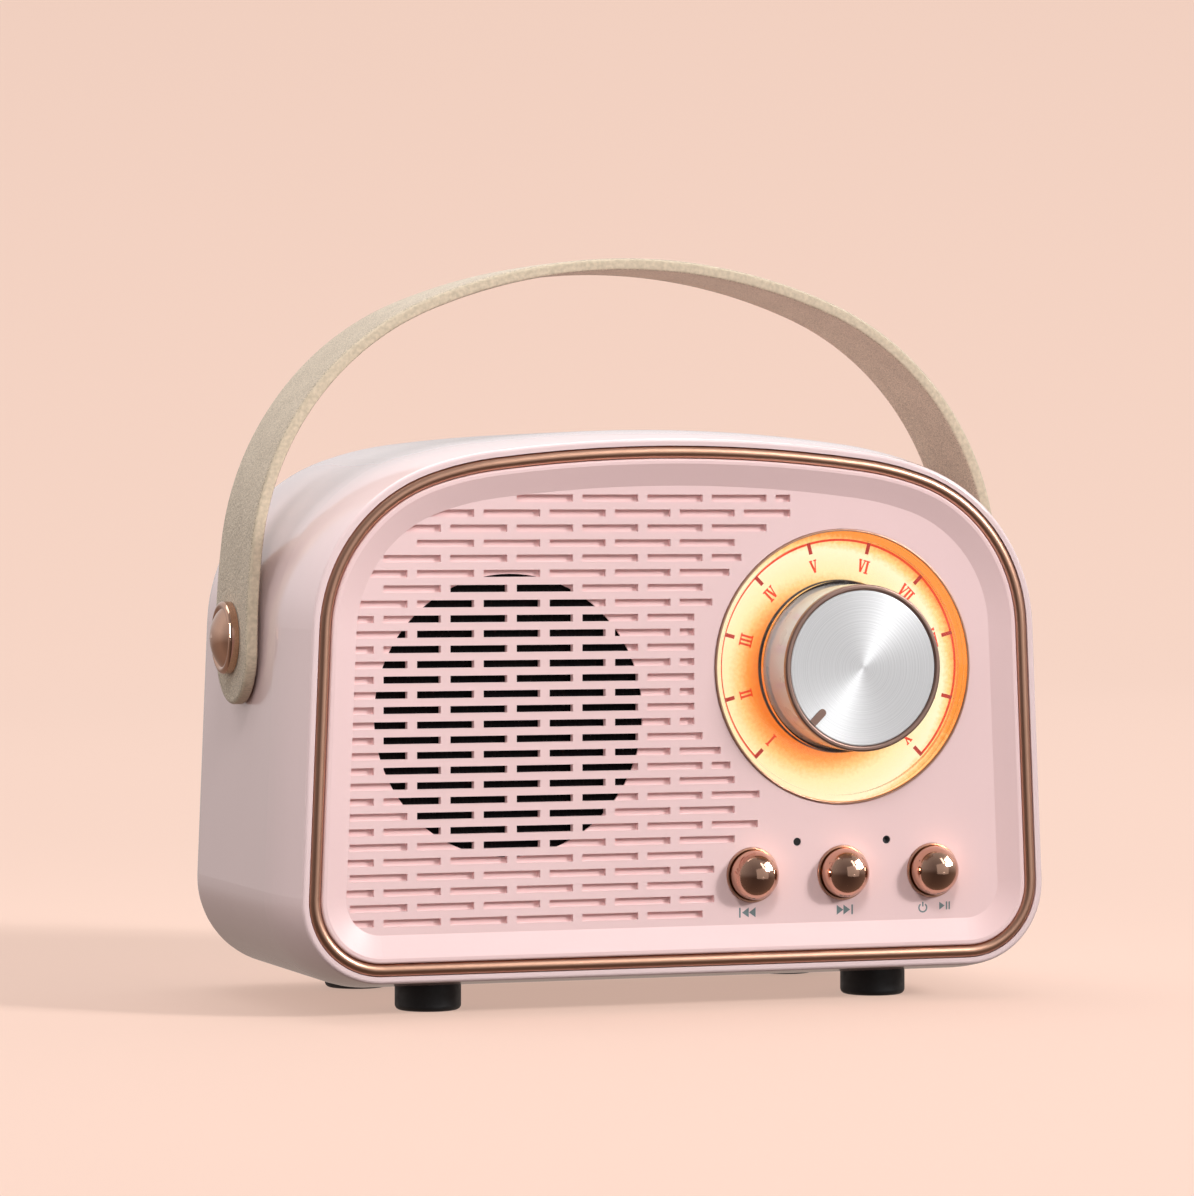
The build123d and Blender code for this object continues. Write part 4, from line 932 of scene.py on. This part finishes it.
# name, place, aim, (width, height), watts, and the rays that see it: all, diffuse or glossy
AREA_LIGHTS = [
    ("key", (1.95, -1.95, 1.2), AIM, (0.6, 0.6), 36.0, "all"),
    ("floor_key", (1.95, -1.95, 1.5), (0, 0, 0), (0.6, 0.6), 32.0, "all"),
    ("strip", (0.75, -1.2, 1.35), AIM, (0.3, 0.9), 2.6, "glossy"),
    ("front_card", (0.55, -1.5, 0.3), AIM, (1.8, 1.4), 2.8, "glossy"),
    ("left_strip", (-1.5, -0.5, 0.5), AIM, (0.12, 0.9), 22.0, "glossy"),
    ("top", (-0.1, 0.7, 2.2), AIM, (2.4, 1.4), 30.0, "all"),
    ("upper_left", (-0.25, -0.75, 0.8), AIM, (0.2, 0.2), 4.4, "diffuse"),
    ("left_wash", (-2.2, 0.3, 0.6), AIM, (0.8, 0.8), 3.6, "diffuse"),
    ("near_fill", (-0.17, -0.2, 0.10), AIM, (0.12, 0.15), 0.1, "diffuse"),
    ("side_box", (2.0, -0.9, 1.3), AIM, (1.3, 1.3), 290.0, "all"),
    ("backdrop", (-0.2, 0.5, 2.2), (0.7, 1.6, 1.0), (1.5, 0.5), 12.0, "all"),
]


def put_light(light, place, aim, power):
    light.energy = power
    obj = bpy.data.objects.new(light.name, light)
    obj.location = place
    obj.rotation_mode = "QUATERNION"
    obj.rotation_quaternion = (Vector(aim) - Vector(place)).to_track_quat("-Z", "Y")
    obj.visible_camera = False
    bpy.context.scene.collection.objects.link(obj)
    return obj


def area_light(name, place, aim, size, power, seen_by):
    light = bpy.data.lights.new(name, "AREA")
    light.shape = "RECTANGLE"
    light.size, light.size_y = size
    obj = put_light(light, place, aim, power)
    obj.visible_diffuse = seen_by != "glossy"
    obj.visible_glossy = seen_by != "diffuse"


def spot_light(name, place, aim, radius, cone, power):
    """A soft-edged pool of light. cone is its full angle in degrees."""
    light = bpy.data.lights.new(name, "SPOT")
    light.shadow_soft_size = radius
    light.spot_size = math.radians(cone)
    light.spot_blend = 1.0
    put_light(light, place, aim, power)


def light_only(name, objects, state, lights):
    """Lets lights reach only the given objects (INCLUDE), or all but them (EXCLUDE)."""
    group = bpy.data.collections.new(name)
    for number, obj in enumerate(objects):
        group.objects.link(obj)
        group.collection_objects[number].light_linking.link_state = state
    for light in lights:
        bpy.data.objects[light].light_linking.receiver_collection = group


def make_world():
    """Studio surroundings: pale overhead, behind and at the right, darker in front and below."""
    world = bpy.data.worlds.new("Studio")
    world.use_nodes = True
    tree = world.node_tree
    place = tree.nodes.new("ShaderNodeTexCoord")
    split = tree.nodes.new("ShaderNodeSeparateXYZ")
    tree.links.new(place.outputs["Generated"], split.inputs["Vector"])

    def band(axis, stops):
        """Colours along an axis, from the direction -1 to the direction 1."""
        spread = tree.nodes.new("ShaderNodeMapRange")
        spread.inputs["From Min"].default_value = -1.0
        tree.links.new(split.outputs[axis], spread.inputs["Value"])
        ramp = tree.nodes.new("ShaderNodeValToRGB")
        tree.links.new(spread.outputs["Result"], ramp.inputs["Fac"])
        set_stops(ramp, stops)
        return ramp.outputs["Color"]

    def multiply(a, b):
        made = tree.nodes.new("ShaderNodeMix")
        made.data_type, made.blend_type = "RGBA", "MULTIPLY"
        made.inputs[0].default_value = 1.0
        tree.links.new(a, made.inputs[6])
        tree.links.new(b, made.inputs[7])
        return made.outputs[2]

    height = band("Z", [
        (0.0, (0.36, 0.26, 0.21)),
        (0.42, (0.38, 0.30, 0.26)),
        (0.58, (0.82, 0.80, 0.80)),
        (1.0, (1.0, 1.0, 1.0)),
    ])
    side = band("X", [
        (0.0, (0.75, 0.75, 0.75)),
        (0.30, (0.62, 0.61, 0.61)),
        (0.62, (0.72, 0.72, 0.72)),
        (1.0, (1.0, 1.0, 1.0)),
    ])
    depth = band("Y", [(0.0, (0.24, 0.22, 0.22)), (0.45, (0.45, 0.44, 0.44)), (0.72, (1.0, 1.0, 1.0))])
    background = tree.nodes["Background"]
    tree.links.new(multiply(multiply(height, side), depth), background.inputs["Color"])
    background.inputs["Strength"].default_value = WORLD_STRENGTH
    bpy.context.scene.world = world


def make_stage():
    """Floor, surroundings and lights, with each light kept to what it is for."""
    floor = make_floor()
    make_world()
    bpy.context.scene.view_settings.view_transform = "Standard"
    for settings in AREA_LIGHTS:
        area_light(*settings)
    spot_light("key_left", (1.55, -1.75, 1.1), (-0.05, -0.02, 0.045), 0.2, 4.8, 350.0)
    light_only("not_the_floor", [floor], "EXCLUDE", ["top", "upper_left", "left_wash", "near_fill"])
    light_only("just_the_floor", [floor], "INCLUDE", ["backdrop", "floor_key"])
    buttons = [NODES[name] for name in ("previous_button", "next_button", "power_button")]
    rivets = NODES["strap_rivets"]
    light_only("just_the_domes", [*buttons, rivets], "INCLUDE", ["side_box"])
    light_only("just_the_rivets", [rivets], "INCLUDE", ["left_strip"])


def make_camera():
    camera = bpy.data.cameras.new("camera")
    camera.lens = 145.77
    camera.sensor_width = 36.0
    camera.shift_y = -0.0719
    camera.dof.use_dof = False
    obj = bpy.data.objects.new("camera", camera)
    obj.location = (-0.22375, -0.61655, 0.065)
    obj.rotation_euler = (math.radians(90), 0, -math.radians(19.66))
    bpy.context.scene.collection.objects.link(obj)
    bpy.context.scene.camera = obj


make_stage()
make_camera()
